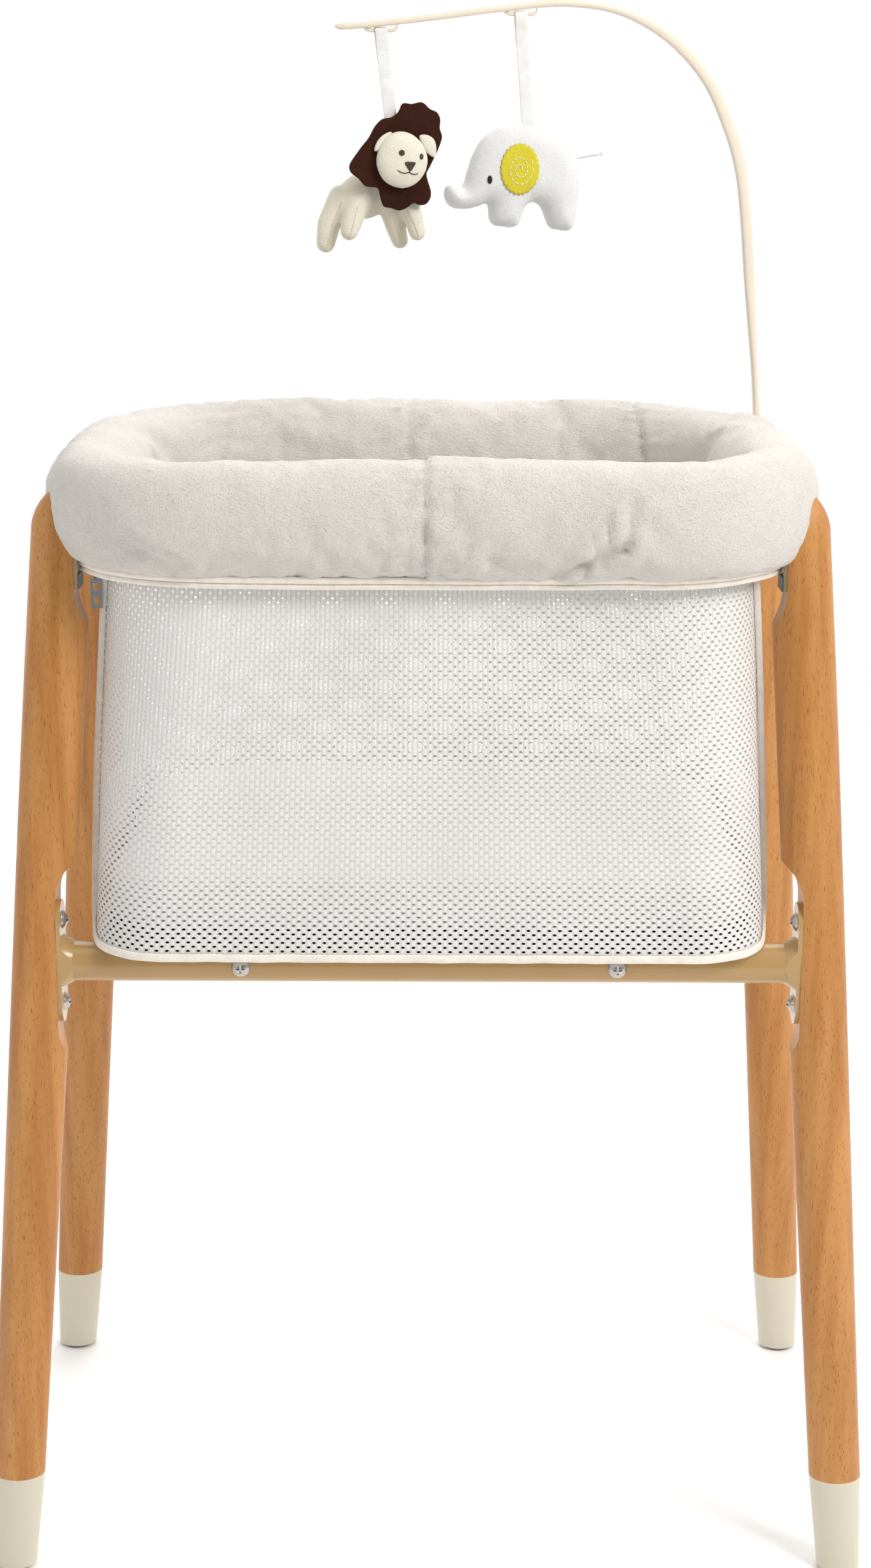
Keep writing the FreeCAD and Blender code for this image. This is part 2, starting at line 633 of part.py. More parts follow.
def rim_room(name, margin):
    """The room that the legs, brackets and arm socket take out of the padding."""
    y = f"(-{LEAN_Y.format(z='bracket_screw_height')})"
    leg_room = box(
        name + "_leg", "2 * leg_top_width", f"leg_top_depth + 14 + 2 * ({margin})",
        f"leg_shoulder_height + shoulder_radius - bracket_low + 8 + {margin}",
        f"upper_flat_x - bracket_thick - head_height - 0.6 - ({margin})",
        f"-{y} - leg_top_depth / 2 - 7 - ({margin})", "bracket_low - 6",
    )
    rooms = [group_of_four(name + "_leg_room", leg_room)]
    for end, corner in (("front", "ring_front_corner"), ("rear", "ring_rear_corner")):
        low = ring_x_at(corner, y)
        tab_room = box(
            f"{name}_{end}_lug", f"upper_flat_x - {low} + 2 + {margin}",
            f"bracket_width + 1 + 2 * ({margin})",
            f"bracket_thick + 1 + 2 * ({margin})", f"{low} - 1 - ({margin})",
            f"-{y} - bracket_width / 2 - 0.5 - ({margin})",
            f"ring_height - ring_tube_radius - bracket_thick - 0.5 - ({margin})",
        )
        side = tab_room if end == "front" else mirror(f"{name}_{end}_lug_turned", tab_room, "y")
        rooms.append(side)
        rooms.append(mirror(f"{name}_{end}_lug_left", side, "x"))
    rooms.append(box(
        name + "_socket", f"clamp_long + 2 + 2 * ({margin})", f"clamp_wide + 1 + 2 * ({margin})",
        f"2 * clamp_tall + 1.5 + 2 * ({margin})",
        f"arm_base_x - clamp_long + pin_radius + socket_wall - 1 - ({margin})",
        f"arm_base_y - clamp_wide / 2 - 0.5 - ({margin})",
        f"ring_height - clamp_tall - 0.75 - ({margin})",
    ))
    rooms.append(cylinder(
        name + "_sleeve", f"pin_radius + pin_gap + socket_wall + 0.5 + {margin}", "arm_base_height", "z",
        "arm_base_x", "arm_base_y", f"socket_low - 0.5 - ({margin})",
    ))
    return fuse(name, *rooms)


def build_rim(ring):
    outline = ring_outline("rim_path", "0", "rim_height")
    outer = rim_roll("rim_outer", outline, "0")
    inner = rim_roll("rim_inner", outline, "cover_thick")
    core = rim_roll("rim_core", outline, "(cover_thick + soft_gap / 2)")
    skin = cut("rim_skin", outer, rim_room("rim_room", "0"))
    hollow = cut("rim_hollow", inner, rim_room("rim_room_wide", "cover_thick"))
    shell = cut("rim_shell", skin, hollow)
    whole = cut("rim_cover_cut", shell, ring)
    reach = 60  # beyond the ring's path, past the roll's outside on every side
    for side, start in (("left", f"-ring_half_x - {reach}"), ("right", "soft_gap / 8")):
        half = box(f"rim_half_{side}", f"ring_half_x + {reach} - soft_gap / 8",
                   f"2 * (ring_half_y + {reach})",
                   f"2 * {reach}", start, f"-ring_half_y - {reach}", f"rim_height - {reach}")
        node(f"rim_cover_{side}", common(f"rim_cover_{side}_half", whole, half))
    stuffing = cut("rim_stuffing", core, rim_room("rim_room_core", "cover_thick + soft_gap / 2"))
    node("rim_foam", cut("rim_foam_cut", stuffing, ring))
    offset = "rim_piping_offset"
    cord = ring_outline("piping_path", offset, "rim_piping_height")
    piping = swept_round("piping_cord", cord, "piping_radius", "rim_piping_height",
                         f"(ring_half_x + {offset})", f"(ring_half_y + {offset})",
                         f"(ring_front_corner + {offset})")
    legs = box("piping_leg_room", "2 * leg_top_width", "leg_top_depth + 8", "30",
               "upper_flat_x - bracket_thick - head_height - 0.6",
               LEAN_Y.format(z="bracket_screw_height") + " - leg_top_depth / 2 - 4",
               "rim_piping_height - 15")
    node("rim_piping", cut("piping_cut", piping, group_of_four("piping_room", legs)))


# ---------------------------------------------------------------- basket, board and mattress
BASKET_LOW = "(rail_height + rail_radius + rest_gap + fabric_thick)"


def basket_outline(name, grow, height):
    """The basket's outline at its floor, grown or shrunk all round."""
    return rounded_outline(name, f"basket_half_x + ({grow})", f"basket_half_y + ({grow})",
                           f"basket_front_corner + ({grow})", f"basket_rear_corner + ({grow})", height)


def basket_loft(name, grow):
    """The basket's tapering outer shape, grown by a little or shrunk to make its inside."""
    sketches = [
        basket_outline(name + "_low", grow, BASKET_LOW),
        rounded_outline(name + "_high", f"basket_top_half_x + ({grow})", f"basket_top_half_y + ({grow})",
                        f"basket_top_front_corner + ({grow})", f"basket_top_rear_corner + ({grow})",
                        "basket_top"),
    ]
    return add("Part::Loft", name, Sections=sketches, Solid=True, Ruled=True)


def slab(name, low_x, high_x, low_y, high_y):
    """A block as tall as the basket between two places in X and in Y."""
    return box(name, f"({high_x}) - ({low_x})", f"({high_y}) - ({low_y})", "basket_top",
               low_x, low_y, "rail_height")


def build_basket():
    wide = "(2 * basket_half_x)"
    outer = basket_loft("basket_outer", "0")
    inner = basket_loft("basket_inner", "-fabric_thick")
    wall = cut("basket_wall", outer, inner)
    front_y = "(-zip_y - zip_tape_width / 2)"
    back_y = "(-zip_y + zip_tape_width / 2)"
    panels = {
        "front_mesh_panel": (f"-{wide}", wide, f"-{wide}", front_y),
        "left_mesh_panel": (f"-{wide}", "0", back_y, "rear_seam_y"),
        "right_mesh_panel": ("0", wide, back_y, "rear_seam_y"),
        "rear_mesh_panel": (f"-{wide}", wide, "rear_seam_y", wide),
    }
    for label, limits in panels.items():
        node(label, common(label + "_cut", wall, slab(label + "_slab", *limits)))
    proud = basket_loft("basket_proud", "zip_tape_proud")
    tape_wall = cut("tape_wall", proud, inner)
    for side, limits in (("left", (f"-{wide}", "0")), ("right", ("0", wide))):
        strip = slab(f"zip_slab_{side}", *limits, front_y, back_y)
        node(f"zip_tape_{side}", common(f"zip_tape_cut_{side}", tape_wall, strip))

    floor = basket_outline("floor_outline", "0", "rail_height + rail_radius + rest_gap")
    node("basket_floor", pad("basket_floor_pad", floor, "fabric_thick"))

    hem_height = "(rail_height + rail_radius + rest_gap + piping_radius)"
    half_x = "(basket_half_x + piping_radius + 0.2)"
    half_y = "(basket_half_y + piping_radius + 0.2)"
    corner = "(basket_front_corner + piping_radius + 0.2)"
    hem_path = rounded_outline("hem_path", half_x, half_y, corner, "basket_rear_corner", hem_height)
    cord = swept_round("hem_cord", hem_path, "piping_radius", hem_height, half_x, half_y, corner)
    keep = box("hem_keep", f"2 * {wide}", "basket_half_y", "8 * piping_radius", f"-{wide}",
               "-(zip_y + zip_tape_width / 2 + basket_half_y)", f"{hem_height} - 4 * piping_radius")
    node("front_hem_piping", common("hem_cut", cord, keep))

    board = basket_outline("board_outline", "-board_inset", f"{BASKET_LOW} + rest_gap")
    node("base_board", pad("board_pad", board, "board_thick"))
    bed = basket_outline("mattress_outline", "-mattress_inset",
                         f"{BASKET_LOW} + 2 * rest_gap + board_thick")
    node("mattress", pad("mattress_pad", bed, "mattress_thick"))


# ---------------------------------------------------------------- zip slider and pull
ZIP_CORNER = "(zip_y - zip_tape_width / 2 - basket_top_half_y + basket_top_front_corner)"
ZIP_WALL_X = ("(basket_top_half_x - basket_top_front_corner"
              f" + sqrt(basket_top_front_corner^2 - {ZIP_CORNER}^2))")
ZIP_X = f"(-({ZIP_WALL_X} + zip_tape_proud + slider_gap))"
SLIDER_TOP = "(basket_top + 2)"
PULL_Z = "(basket_top - 1.5)"
PULL_Y = "(-zip_y - slider_thick / 2 - 2.2)"


def build_zip():
    body = box("slider_body", "slider_width", "slider_thick", "slider_tall",
               f"{ZIP_X} - slider_width", "-zip_y - slider_thick / 2", f"{SLIDER_TOP} - slider_tall")
    ears = []
    for side, x in (("inner", f"{ZIP_X} - slider_ear"), ("outer", f"{ZIP_X} - slider_width")):
        ears.append(box(f"slider_ear_{side}", "slider_ear", "4", "4", x,
                        "-zip_y - slider_thick / 2 - 3.6", f"{PULL_Z} - 2"))
    pin = cylinder("slider_pin", "pull_pin_radius", "slider_width - slider_ear", "x",
                   f"{ZIP_X} - slider_width + slider_ear / 2", PULL_Y, PULL_Z)
    node("zip_slider", fuse("slider", body, *ears, pin))

    neck = "(slider_width - 2 * slider_ear - 0.8)"
    centre_x = f"({ZIP_X} - pull_offset - pull_width / 2)"
    neck_x = f"({ZIP_X} - slider_width / 2 - {neck} / 2)"
    eye = cylinder("pull_eye", "2", neck, "x", neck_x, PULL_Y, PULL_Z)
    stem = box("pull_stem", neck, "pull_thick", "5", neck_x,
               f"{PULL_Y} - pull_thick / 2", f"{PULL_Z} - 5.5")
    tab = box("pull_tab", "pull_width", "pull_thick", "pull_length - 5", f"{centre_x} - pull_width / 2",
              f"{PULL_Y} - pull_thick / 2", f"{PULL_Z} - pull_length")
    windows = [
        box("pull_window_high", "pull_width * 0.45", "2 * pull_thick", "pull_length * 0.2",
            f"{centre_x} - pull_width * 0.225", f"{PULL_Y} - pull_thick", f"{PULL_Z} - pull_length * 0.5"),
        box("pull_window_low", "pull_width * 0.4", "2 * pull_thick", "pull_length * 0.2",
            f"{centre_x} - pull_width * 0.2", f"{PULL_Y} - pull_thick", f"{PULL_Z} - pull_length * 0.9"),
        cylinder("pull_bore", "pull_pin_radius + pull_pin_gap", "pull_width", "x",
                 f"{centre_x} - pull_width / 2", PULL_Y, PULL_Z),
    ]
    node("zip_pull", cut("pull", fuse("pull_blank", eye, stem, tab), fuse("pull_openings", *windows)))


# ---------------------------------------------------------------- mobile arm and hanging loops
# The arm's middle line in its own upright plane: shares of its reach and of its rise, with the
# section's thickness in that plane and its width across it.
ARM_LINE = [
    (0.000, 0.000, 4.5, 8.0),
    (0.010, 0.130, 7.0, 7.0),
    (0.027, 0.313, 10.0, 5.5),
    (0.045, 0.506, 10.5, 5.0),
    (0.062, 0.622, 10.0, 5.5),
    (0.094, 0.722, 9.0, 6.5),
    (0.149, 0.830, 8.0, 7.5),
    (0.238, 0.923, 6.5, 8.5),
    (0.353, 0.982, 5.5, 9.0),
    (0.487, 1.000, 5.0, 9.0),
    (0.635, 0.986, 5.0, 9.0),
    (0.773, 0.967, 5.0, 8.5),
    (0.910, 0.950, 4.6, 7.5),
    (1.000, 0.942, 2.6, 4.0),
]


def arm_point(reach):
    """Height of the arm's middle line at a distance from its pin."""
    share = reach / value("arm_reach")
    for (s0, z0, _, _), (s1, z1, _, _) in zip(ARM_LINE, ARM_LINE[1:]):
        if s0 <= share <= s1:
            rise = z0 + (z1 - z0) * (share - s0) / (s1 - s0)
            return value("arm_base_height") + rise * value("arm_rise")
    return value("arm_base_height")


def build_arm():
    """The arm is lofted through ovals square to its middle line, over a round pin."""
    base = value("arm_base_height")
    line = [Vector(s * value("arm_reach"), 0, base + z * value("arm_rise")) for s, z, _, _ in ARM_LINE]
    ovals = []
    for index, (_, _, thick, wide) in enumerate(ARM_LINE):
        before = line[max(index - 1, 0)]
        after = line[min(index + 1, len(line) - 1)]
        along = (after - before).normalize() if index else Vector(0, 0, 1)
        across = Vector(0, 1, 0)
        normal = along.cross(across)
        corners = []
        for step in range(12):
            angle = 2 * math.pi * step / 12
            square = 0.5 if abs(math.cos(angle)) < 0.9 and abs(math.sin(angle)) < 0.9 else 1.0
            u = thick / 2 * math.copysign(abs(math.cos(angle)) ** square, math.cos(angle))
            v = wide / 2 * math.copysign(abs(math.sin(angle)) ** square, math.sin(angle))
            corners.append(line[index] + normal * u + across * v)
        curve = Part.BSplineCurve()
        curve.interpolate(corners, PeriodicFlag=True)
        ovals.append(Part.Wire([curve.toShape()]))
    strap = add("Part::Feature", "arm_strap")
    strap.Shape = Part.makeLoft(ovals, True, False)
    pin = cylinder("arm_pin", "pin_radius", "arm_base_height - socket_low - socket_wall + 2", "z",
                   0, 0, "socket_low + socket_wall + 0.8")
    loops = []
    for name, reach in (("lion", "lion_reach"), ("elephant", "elephant_reach")):
        top = arm_point(value(reach))
        bar_z = top - value("loop_drop")
        bar = cylinder(f"{name}_loop_bar", "loop_bar_radius", "loop_width", "x",
                       f"{reach} - loop_width / 2", 0, bar_z)
        loops.append(bar)
        for side, x in (("near", f"{reach} - loop_width / 2 - loop_post"),
                        ("far", f"{reach} + loop_width / 2")):
            loops.append(box(f"{name}_loop_{side}", "loop_post", "2 * loop_bar_radius + 0.6",
                             "loop_drop + 2", x, "-loop_bar_radius - 0.3",
                             bar_z - value("loop_bar_radius") - 0.3))
    arm = fuse("arm_body", strap, pin, *loops)
    arm.Placement.Rotation = Rotation(Vector(0, 0, 1), value("arm_turn"))
    bind(arm, {"Placement.Rotation.Angle": "arm_turn"})
    node("mobile_arm", place(arm, "arm_base_x", "arm_base_y", 0))


def build_ribbon(name, reach, length, lean):
    """A flat strap sewn round the loop's bar, hanging down to its toy."""
    bar_z = arm_point(value(reach)) - value("loop_drop")
    gap = "loop_bar_radius + ribbon_loop_gap"
    sleeve = cut(
        f"{name}_sleeve",
        cylinder(f"{name}_sleeve_outer", f"{gap} + ribbon_thick", "ribbon_width", "x",
                 f"{reach} - ribbon_width / 2", 0, bar_z),
        cylinder(f"{name}_sleeve_bore", gap, "ribbon_width", "x", f"{reach} - ribbon_width / 2", 0, bar_z),
    )
    drop = value(f"{gap} + ribbon_thick / 2")
    half = value("ribbon_width") / 2
    top = Vector(value(reach), value("-ribbon_thick / 2"), bar_z - drop)
    bottom = top + Vector(lean, 0, -value(length))
    corners = [top + Vector(-half, 0, 0), top + Vector(half, 0, 0),
               bottom + Vector(half, 0, 0), bottom + Vector(-half, 0, 0)]
    strap = add("Part::Feature", f"{name}_strap")
    face = Part.Face(Part.makePolygon(corners + corners[:1]))
    strap.Shape = face.extrude(Vector(0, value("ribbon_thick"), 0))
    ribbon = fuse(f"{name}_ribbon_body", sleeve, strap)
    bind(ribbon, {"Placement.Rotation.Angle": "arm_turn"})
    node(f"{name}_ribbon", place(ribbon, "arm_base_x", "arm_base_y", 0))
    turn = math.radians(value("arm_turn"))
    heading = Vector(math.cos(turn), math.sin(turn), 0)
    return Vector(value("arm_base_x"), value("arm_base_y"), bottom.z) + heading * bottom.x


# ---------------------------------------------------------------- toys
def stuffed_disc(name, centre, radius, half_thick, edge):
    """A flat stuffed form facing the front, its rim rounded by the edge radius."""
    disc = Part.makeCylinder(radius, 2 * half_thick, centre - Vector(0, half_thick, 0), Vector(0, 1, 0))
    rims = [rim for rim in disc.Edges if isinstance(rim.Curve, Part.Circle)]
    thing = add("Part::Feature", name)
    thing.Shape = disc.makeFillet(edge, rims)
    return thing


def limb(name, start, end, radius):
    """A stuffed limb: a rod with round ends."""
    along = end - start
    rod = Part.makeCylinder(radius, along.Length, start, along)
    thing = add("Part::Feature", name)
    thing.Shape = rod.fuse([Part.makeSphere(radius, start), Part.makeSphere(radius, end)])
    return thing


def ball(name, centre, radius):
    thing = add("Part::Feature", name)
    thing.Shape = Part.makeSphere(radius, centre)
    return thing


def oval_plate(name, centre, half_wide, half_tall, low_y, thick):
    """An upright oval plate facing the front, from low_y back."""
    oval = Part.Ellipse(Vector(0, 0, half_tall), Vector(half_wide, 0, 0), Vector(0, 0, 0))
    thing = add("Part::Feature", name)
    thing.Shape = Part.Face(Part.Wire(oval.toShape())).extrude(Vector(0, thick, 0))
    thing.Placement.Base = Vector(centre.x, low_y, centre.z)
    return thing


def between(name, low_y, high_y):
    """A block that keeps only what lies between two places in Y."""
    return box(name, 800, high_y - low_y, 800, -400, low_y, 900)


def hung_node(name, thing, hang):
    """A piece of a toy, turned about its ribbon so that it faces square to the arm."""
    turned = add("Part::Compound", name + "_hung", Links=[thing])
    spin = Rotation(Vector(0, 0, 1), value("arm_turn - 180"))
    turned.Placement = FreeCAD.Placement(Vector(0, 0, 0), spin, hang)
    node(name, turned)


# The toys' forms. Each place is (across, back, up) in mm: from the mane's middle and its back
# face for the lion, and from the middle of the body for the elephant. A limb is start, end, radius.
LION_MANE = {"half_wide": 35, "half_tall": 41, "thick": 5, "across": 7, "below_ribbon": 28}
LION_HEAD = {"radius": 21.5, "across": 1, "sunk": 1, "below": 2}
LION_EARS = {"left": -16, "right": 19}
LION_EAR = {"radius": 7, "front": 5, "up": 14}
LION_FORMS = {
    "trunk": ((-31, 17, -24), (3, 14, -20), 20),
    "rear_left": ((-36, 22, -26), (-50, 24, -64), 7.5),
    "front_left": ((-27, 10, -26), (-33, 9, -54), 7.5),
    "rear_right": ((2, 22, -26), (7, 24, -62), 8),
    "front_right": ((12, 12, -26), (19, 9, -58), 7.5),
}
ELEPHANT_TORSO = {"radius": 38, "half_thick": 16, "edge": 13, "across": 2, "sewn_in": 4}
ELEPHANT_HEAD = {"radius": 15, "across": -28}
ELEPHANT_FORMS = {
    "trunk": ((-34, 0, -10), (-57, 0, -8), 7.5),
    "leg_front": ((-17, 0, -16), (-17, 0, -35), 11),
    "leg_rear": ((24, 0, -10), (28, 0, -35), 11),
}
EAR_PATCH = {"across": -8, "up": 2, "half_wide": 15, "half_tall": 19, "thick": 1.2}
TAIL = {"start": (34, 0, 13), "along": (24, 0, 6), "radius": 1}
SEWN_GAP = 0.05
SLOT_ROOM = {"wide": 3, "thick": 0.1, "below": 0.2}
FRONT_ROOM = 60
REAR_ROOM = 80


def limbs_from(name, origin, forms):
    return [limb(f"{name}_{part}", origin + Vector(*start), origin + Vector(*end), radius)
            for part, (start, end, radius) in forms.items()]


def build_lion(hang):
    """Head in front, a felt mane behind it with the ribbon sewn to its back, then the body."""
    mane_back = hang.y - value("ribbon_thick") / 2 - SEWN_GAP
    mane_front = mane_back - LION_MANE["thick"]
    centre = Vector(hang.x + LION_MANE["across"], mane_back, hang.z - LION_MANE["below_ribbon"])
    mane = oval_plate("mane_plate", centre, LION_MANE["half_wide"], LION_MANE["half_tall"], mane_front,
                      LION_MANE["thick"])
    hung_node("lion_mane", mane, hang)
    face = Vector(centre.x + LION_HEAD["across"], mane_front + LION_HEAD["sunk"],
                  centre.z - LION_HEAD["below"])
    head = ball("head_form", face, LION_HEAD["radius"])
    ears = [ball(f"ear_form_{side}", Vector(centre.x + x, mane_front - LION_EAR["front"],
                                            centre.z + LION_EAR["up"]), LION_EAR["radius"])
            for side, x in LION_EARS.items()]
    front = between("lion_front", hang.y - FRONT_ROOM, mane_front)
    hung_node("lion_head", common("lion_head_cut", fuse("lion_head_forms", head, *ears), front), hang)
    forms = fuse("lion_body_forms", *limbs_from("lion", centre, LION_FORMS))
    rear = between("lion_rear", mane_back, hang.y + REAR_ROOM)
    hung_node("lion_body", common("lion_body_cut", forms, rear), hang)


def build_elephant(hang):
    """A flat stuffed body with trunk and legs, an ear patch and a string tail."""
    radius = ELEPHANT_TORSO["radius"]
    half_thick = ELEPHANT_TORSO["half_thick"]
    sewn_in = ELEPHANT_TORSO["sewn_in"]
    centre = Vector(hang.x + ELEPHANT_TORSO["across"], hang.y, hang.z + sewn_in - radius)
    parts = [
        stuffed_disc("elephant_torso", centre, radius, half_thick, ELEPHANT_TORSO["edge"]),
        ball("elephant_head", centre + Vector(ELEPHANT_HEAD["across"], 0, 0), ELEPHANT_HEAD["radius"]),
        *limbs_from("elephant", centre, ELEPHANT_FORMS),
    ]
    wide = value("ribbon_width") + 2 * SLOT_ROOM["wide"]
    thick = value("ribbon_thick") + 2 * SLOT_ROOM["thick"]
    slot = box("elephant_slot", wide, thick, 2 * sewn_in, hang.x - wide / 2, hang.y - thick / 2,
               hang.z - SLOT_ROOM["below"])
    body = fuse("elephant_forms", *parts)
    hung_node("elephant_body", cut("elephant_body_cut", body, slot), hang)
    patch = oval_plate("ear_plate", centre + Vector(EAR_PATCH["across"], 0, EAR_PATCH["up"]),
                       EAR_PATCH["half_wide"], EAR_PATCH["half_tall"],
                       centre.y - half_thick - EAR_PATCH["thick"], EAR_PATCH["thick"])
    hung_node("elephant_ear_patch", patch, hang)
    tail = add("Part::Feature", "tail_cord")
    along = Vector(*TAIL["along"])
    tail.Shape = Part.makeCylinder(TAIL["radius"], along.Length, centre + Vector(*TAIL["start"]), along)
    hung_node("elephant_tail", cut("tail_cut", tail, body), hang)


# ---------------------------------------------------------------- the whole object
build_legs()
build_fasteners()
build_rails()
ring_solid = build_ring()
build_socket(ring_solid)
build_rim(ring_solid)
build_basket()
build_zip()
build_arm()
build_lion(build_ribbon("lion", "lion_reach", "lion_ribbon_length", -8.5))
build_elephant(build_ribbon("elephant", "elephant_reach", "elephant_ribbon_length", -6.8))
doc.recompute()

failed = [thing.Name for thing in doc.Objects if {"Invalid", "Error"} & set(thing.State)]
if failed:
    raise RuntimeError("objects failed to recompute: " + ", ".join(failed))
for name, thing in nodes.items():
    if thing.Shape.isNull() or not thing.Shape.isValid() or not thing.Shape.Solids:
        raise RuntimeError("no valid solid in " + name)
for name, thing in nodes.items():
    thing.Shape.exportStep(os.path.join("parts", name + ".step"))
    print(f"{name}: {len(thing.Shape.Solids)} solids, {thing.Shape.Volume / 1000:.2f} cm3")
print(len(nodes), "nodes")
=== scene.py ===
import bpy
import bmesh
import json
import math
from mathutils import Matrix, Vector, noise


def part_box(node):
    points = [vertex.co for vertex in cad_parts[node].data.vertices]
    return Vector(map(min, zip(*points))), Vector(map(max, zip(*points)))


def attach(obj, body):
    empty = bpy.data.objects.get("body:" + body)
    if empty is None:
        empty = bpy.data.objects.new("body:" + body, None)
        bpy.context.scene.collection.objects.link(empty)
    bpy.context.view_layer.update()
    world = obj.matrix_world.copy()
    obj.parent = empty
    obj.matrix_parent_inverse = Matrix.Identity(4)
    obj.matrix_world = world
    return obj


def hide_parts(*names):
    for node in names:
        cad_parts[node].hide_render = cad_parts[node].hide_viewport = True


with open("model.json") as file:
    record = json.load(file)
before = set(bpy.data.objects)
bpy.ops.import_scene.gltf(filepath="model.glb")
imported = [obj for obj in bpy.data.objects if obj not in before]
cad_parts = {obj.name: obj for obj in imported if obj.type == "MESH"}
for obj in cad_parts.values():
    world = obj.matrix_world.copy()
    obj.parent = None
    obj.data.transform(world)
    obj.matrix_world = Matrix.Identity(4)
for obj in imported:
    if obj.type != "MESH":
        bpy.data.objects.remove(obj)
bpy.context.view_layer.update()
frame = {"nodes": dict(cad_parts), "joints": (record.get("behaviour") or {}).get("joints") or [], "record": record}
mm = 0.001
scene = bpy.context.scene
print("frame loaded")


# materials
def newMaterial(name, color, rough=0.6, **extra):
    mat = bpy.data.materials.new(name)
    mat.use_nodes = True
    shader = mat.node_tree.nodes["Principled BSDF"]
    shader.inputs["Base Color"].default_value = (*color, 1)
    shader.inputs["Roughness"].default_value = rough
    for socket, amount in extra.items():
        shader.inputs[socket].default_value = amount
    return mat, mat.node_tree, shader


def coords(tree, source="Object", scale=(1, 1, 1)):
    place = tree.nodes.new("ShaderNodeTexCoord")
    mapping = tree.nodes.new("ShaderNodeMapping")
    mapping.inputs["Scale"].default_value = scale
    tree.links.new(place.outputs[source], mapping.inputs["Vector"])
    return mapping.outputs["Vector"]


def noiseNode(tree, vector, scale, detail=3, rough=0.5):
    grain = tree.nodes.new("ShaderNodeTexNoise")
    grain.inputs["Scale"].default_value = scale
    grain.inputs["Detail"].default_value = detail
    grain.inputs["Roughness"].default_value = rough
    tree.links.new(vector, grain.inputs["Vector"])
    return grain.outputs["Fac"]


def ramp(tree, fac, stops):
    node = tree.nodes.new("ShaderNodeValToRGB")
    node.color_ramp.elements[0].position = stops[0][0]
    node.color_ramp.elements[0].color = (*stops[0][1], 1)
    node.color_ramp.elements[1].position = stops[-1][0]
    node.color_ramp.elements[1].color = (*stops[-1][1], 1)
    for where, color in stops[1:-1]:
        stop = node.color_ramp.elements.new(where)
        stop.color = (*color, 1)
    tree.links.new(fac, node.inputs["Fac"])
    return node.outputs["Color"]


def mixColor(tree, fac, first, second, how="MIX"):
    node = tree.nodes.new("ShaderNodeMix")
    node.data_type = "RGBA"
    node.blend_type = how
    for socket, thing in ((node.inputs["Factor"], fac), (node.inputs["A"], first),
                          (node.inputs["B"], second)):
        if isinstance(thing, bpy.types.NodeSocket):
            tree.links.new(thing, socket)
        elif isinstance(thing, tuple):
            socket.default_value = (*thing, 1)
        else:
            socket.default_value = thing
    return node.outputs["Result"]


def bump(tree, shader, height, strength, distance):
    node = tree.nodes.new("ShaderNodeBump")
    node.inputs["Strength"].default_value = strength
    node.inputs["Distance"].default_value = distance
    tree.links.new(height, node.inputs["Height"])
    above = shader.inputs["Normal"].links
    if above:
        tree.links.new(above[0].from_socket, node.inputs["Normal"])
    tree.links.new(node.outputs["Normal"], shader.inputs["Normal"])


def shade(color, amount):
    return tuple(min(1, c * amount) for c in color)


def plainMaterial(name, color, rough, grain, strength, spread=0.06, **extra):
    mat, tree, shader = newMaterial(name, color, rough, **extra)
    where = coords(tree)
    speck = noiseNode(tree, where, grain)
    cloudy = noiseNode(tree, where, 14)
    tone = ramp(tree, cloudy, [(0.3, shade(color, 1 - spread)), (0.7, shade(color, 1 + spread))])
    tree.links.new(tone, shader.inputs["Base Color"])
    bump(tree, shader, speck, strength, 0.0005)
    return mat


def woodMaterial():
    wood = {"light": (0.56, 0.262, 0.078), "warm": (0.43, 0.172, 0.040), "pore": (0.20, 0.070, 0.016)}
    mat, tree, shader = newMaterial("beech", wood["light"], 0.42,
                                    **{"Specular IOR Level": 0.32, "Coat Weight": 0.08})
    growth = noiseNode(tree, coords(tree, scale=(36, 36, 1.6)), 1.7, 4, 0.6)
    tone = ramp(tree, growth, [(0.34, wood["warm"]), (0.62, wood["light"])])
    flecks = noiseNode(tree, coords(tree, scale=(1500, 1500, 150)), 1.0, 1.0, 0.4)
    dots = ramp(tree, flecks, [(0.27, (0.8, 0.8, 0.8)), (0.37, (0, 0, 0))])
    tree.links.new(mixColor(tree, dots, tone, wood["pore"]), shader.inputs["Base Color"])
    bump(tree, shader, dots, 0.12, 0.0003)
    return mat


def plushMaterial(name, color, pile, depth=0.0016, spread=0.05, sheen=0.25):
    mat, tree, shader = newMaterial(name, color, 0.95, **{"Sheen Weight": sheen, "Specular IOR Level": 0.15})
    where = coords(tree)
    tufts = noiseNode(tree, where, pile, 3, 0.62)
    brushed = noiseNode(tree, coords(tree, scale=(1, 1, 2.4)), pile * 0.3, 4, 0.6)
    cloudy = noiseNode(tree, where, 30, 4, 0.6)
    tone = ramp(tree, cloudy, [(0.32, shade(color, 1 - spread)), (0.66, shade(color, 1 + spread))])
    fine = ramp(tree, tufts, [(0.34, shade(color, 0.80)), (0.58, shade(color, 1.06))])
    tree.links.new(mixColor(tree, 0.5, tone, fine), shader.inputs["Base Color"])
    bump(tree, shader, brushed, 0.7, depth)
    bump(tree, shader, tufts, 0.8, depth * 0.55)
    return mat


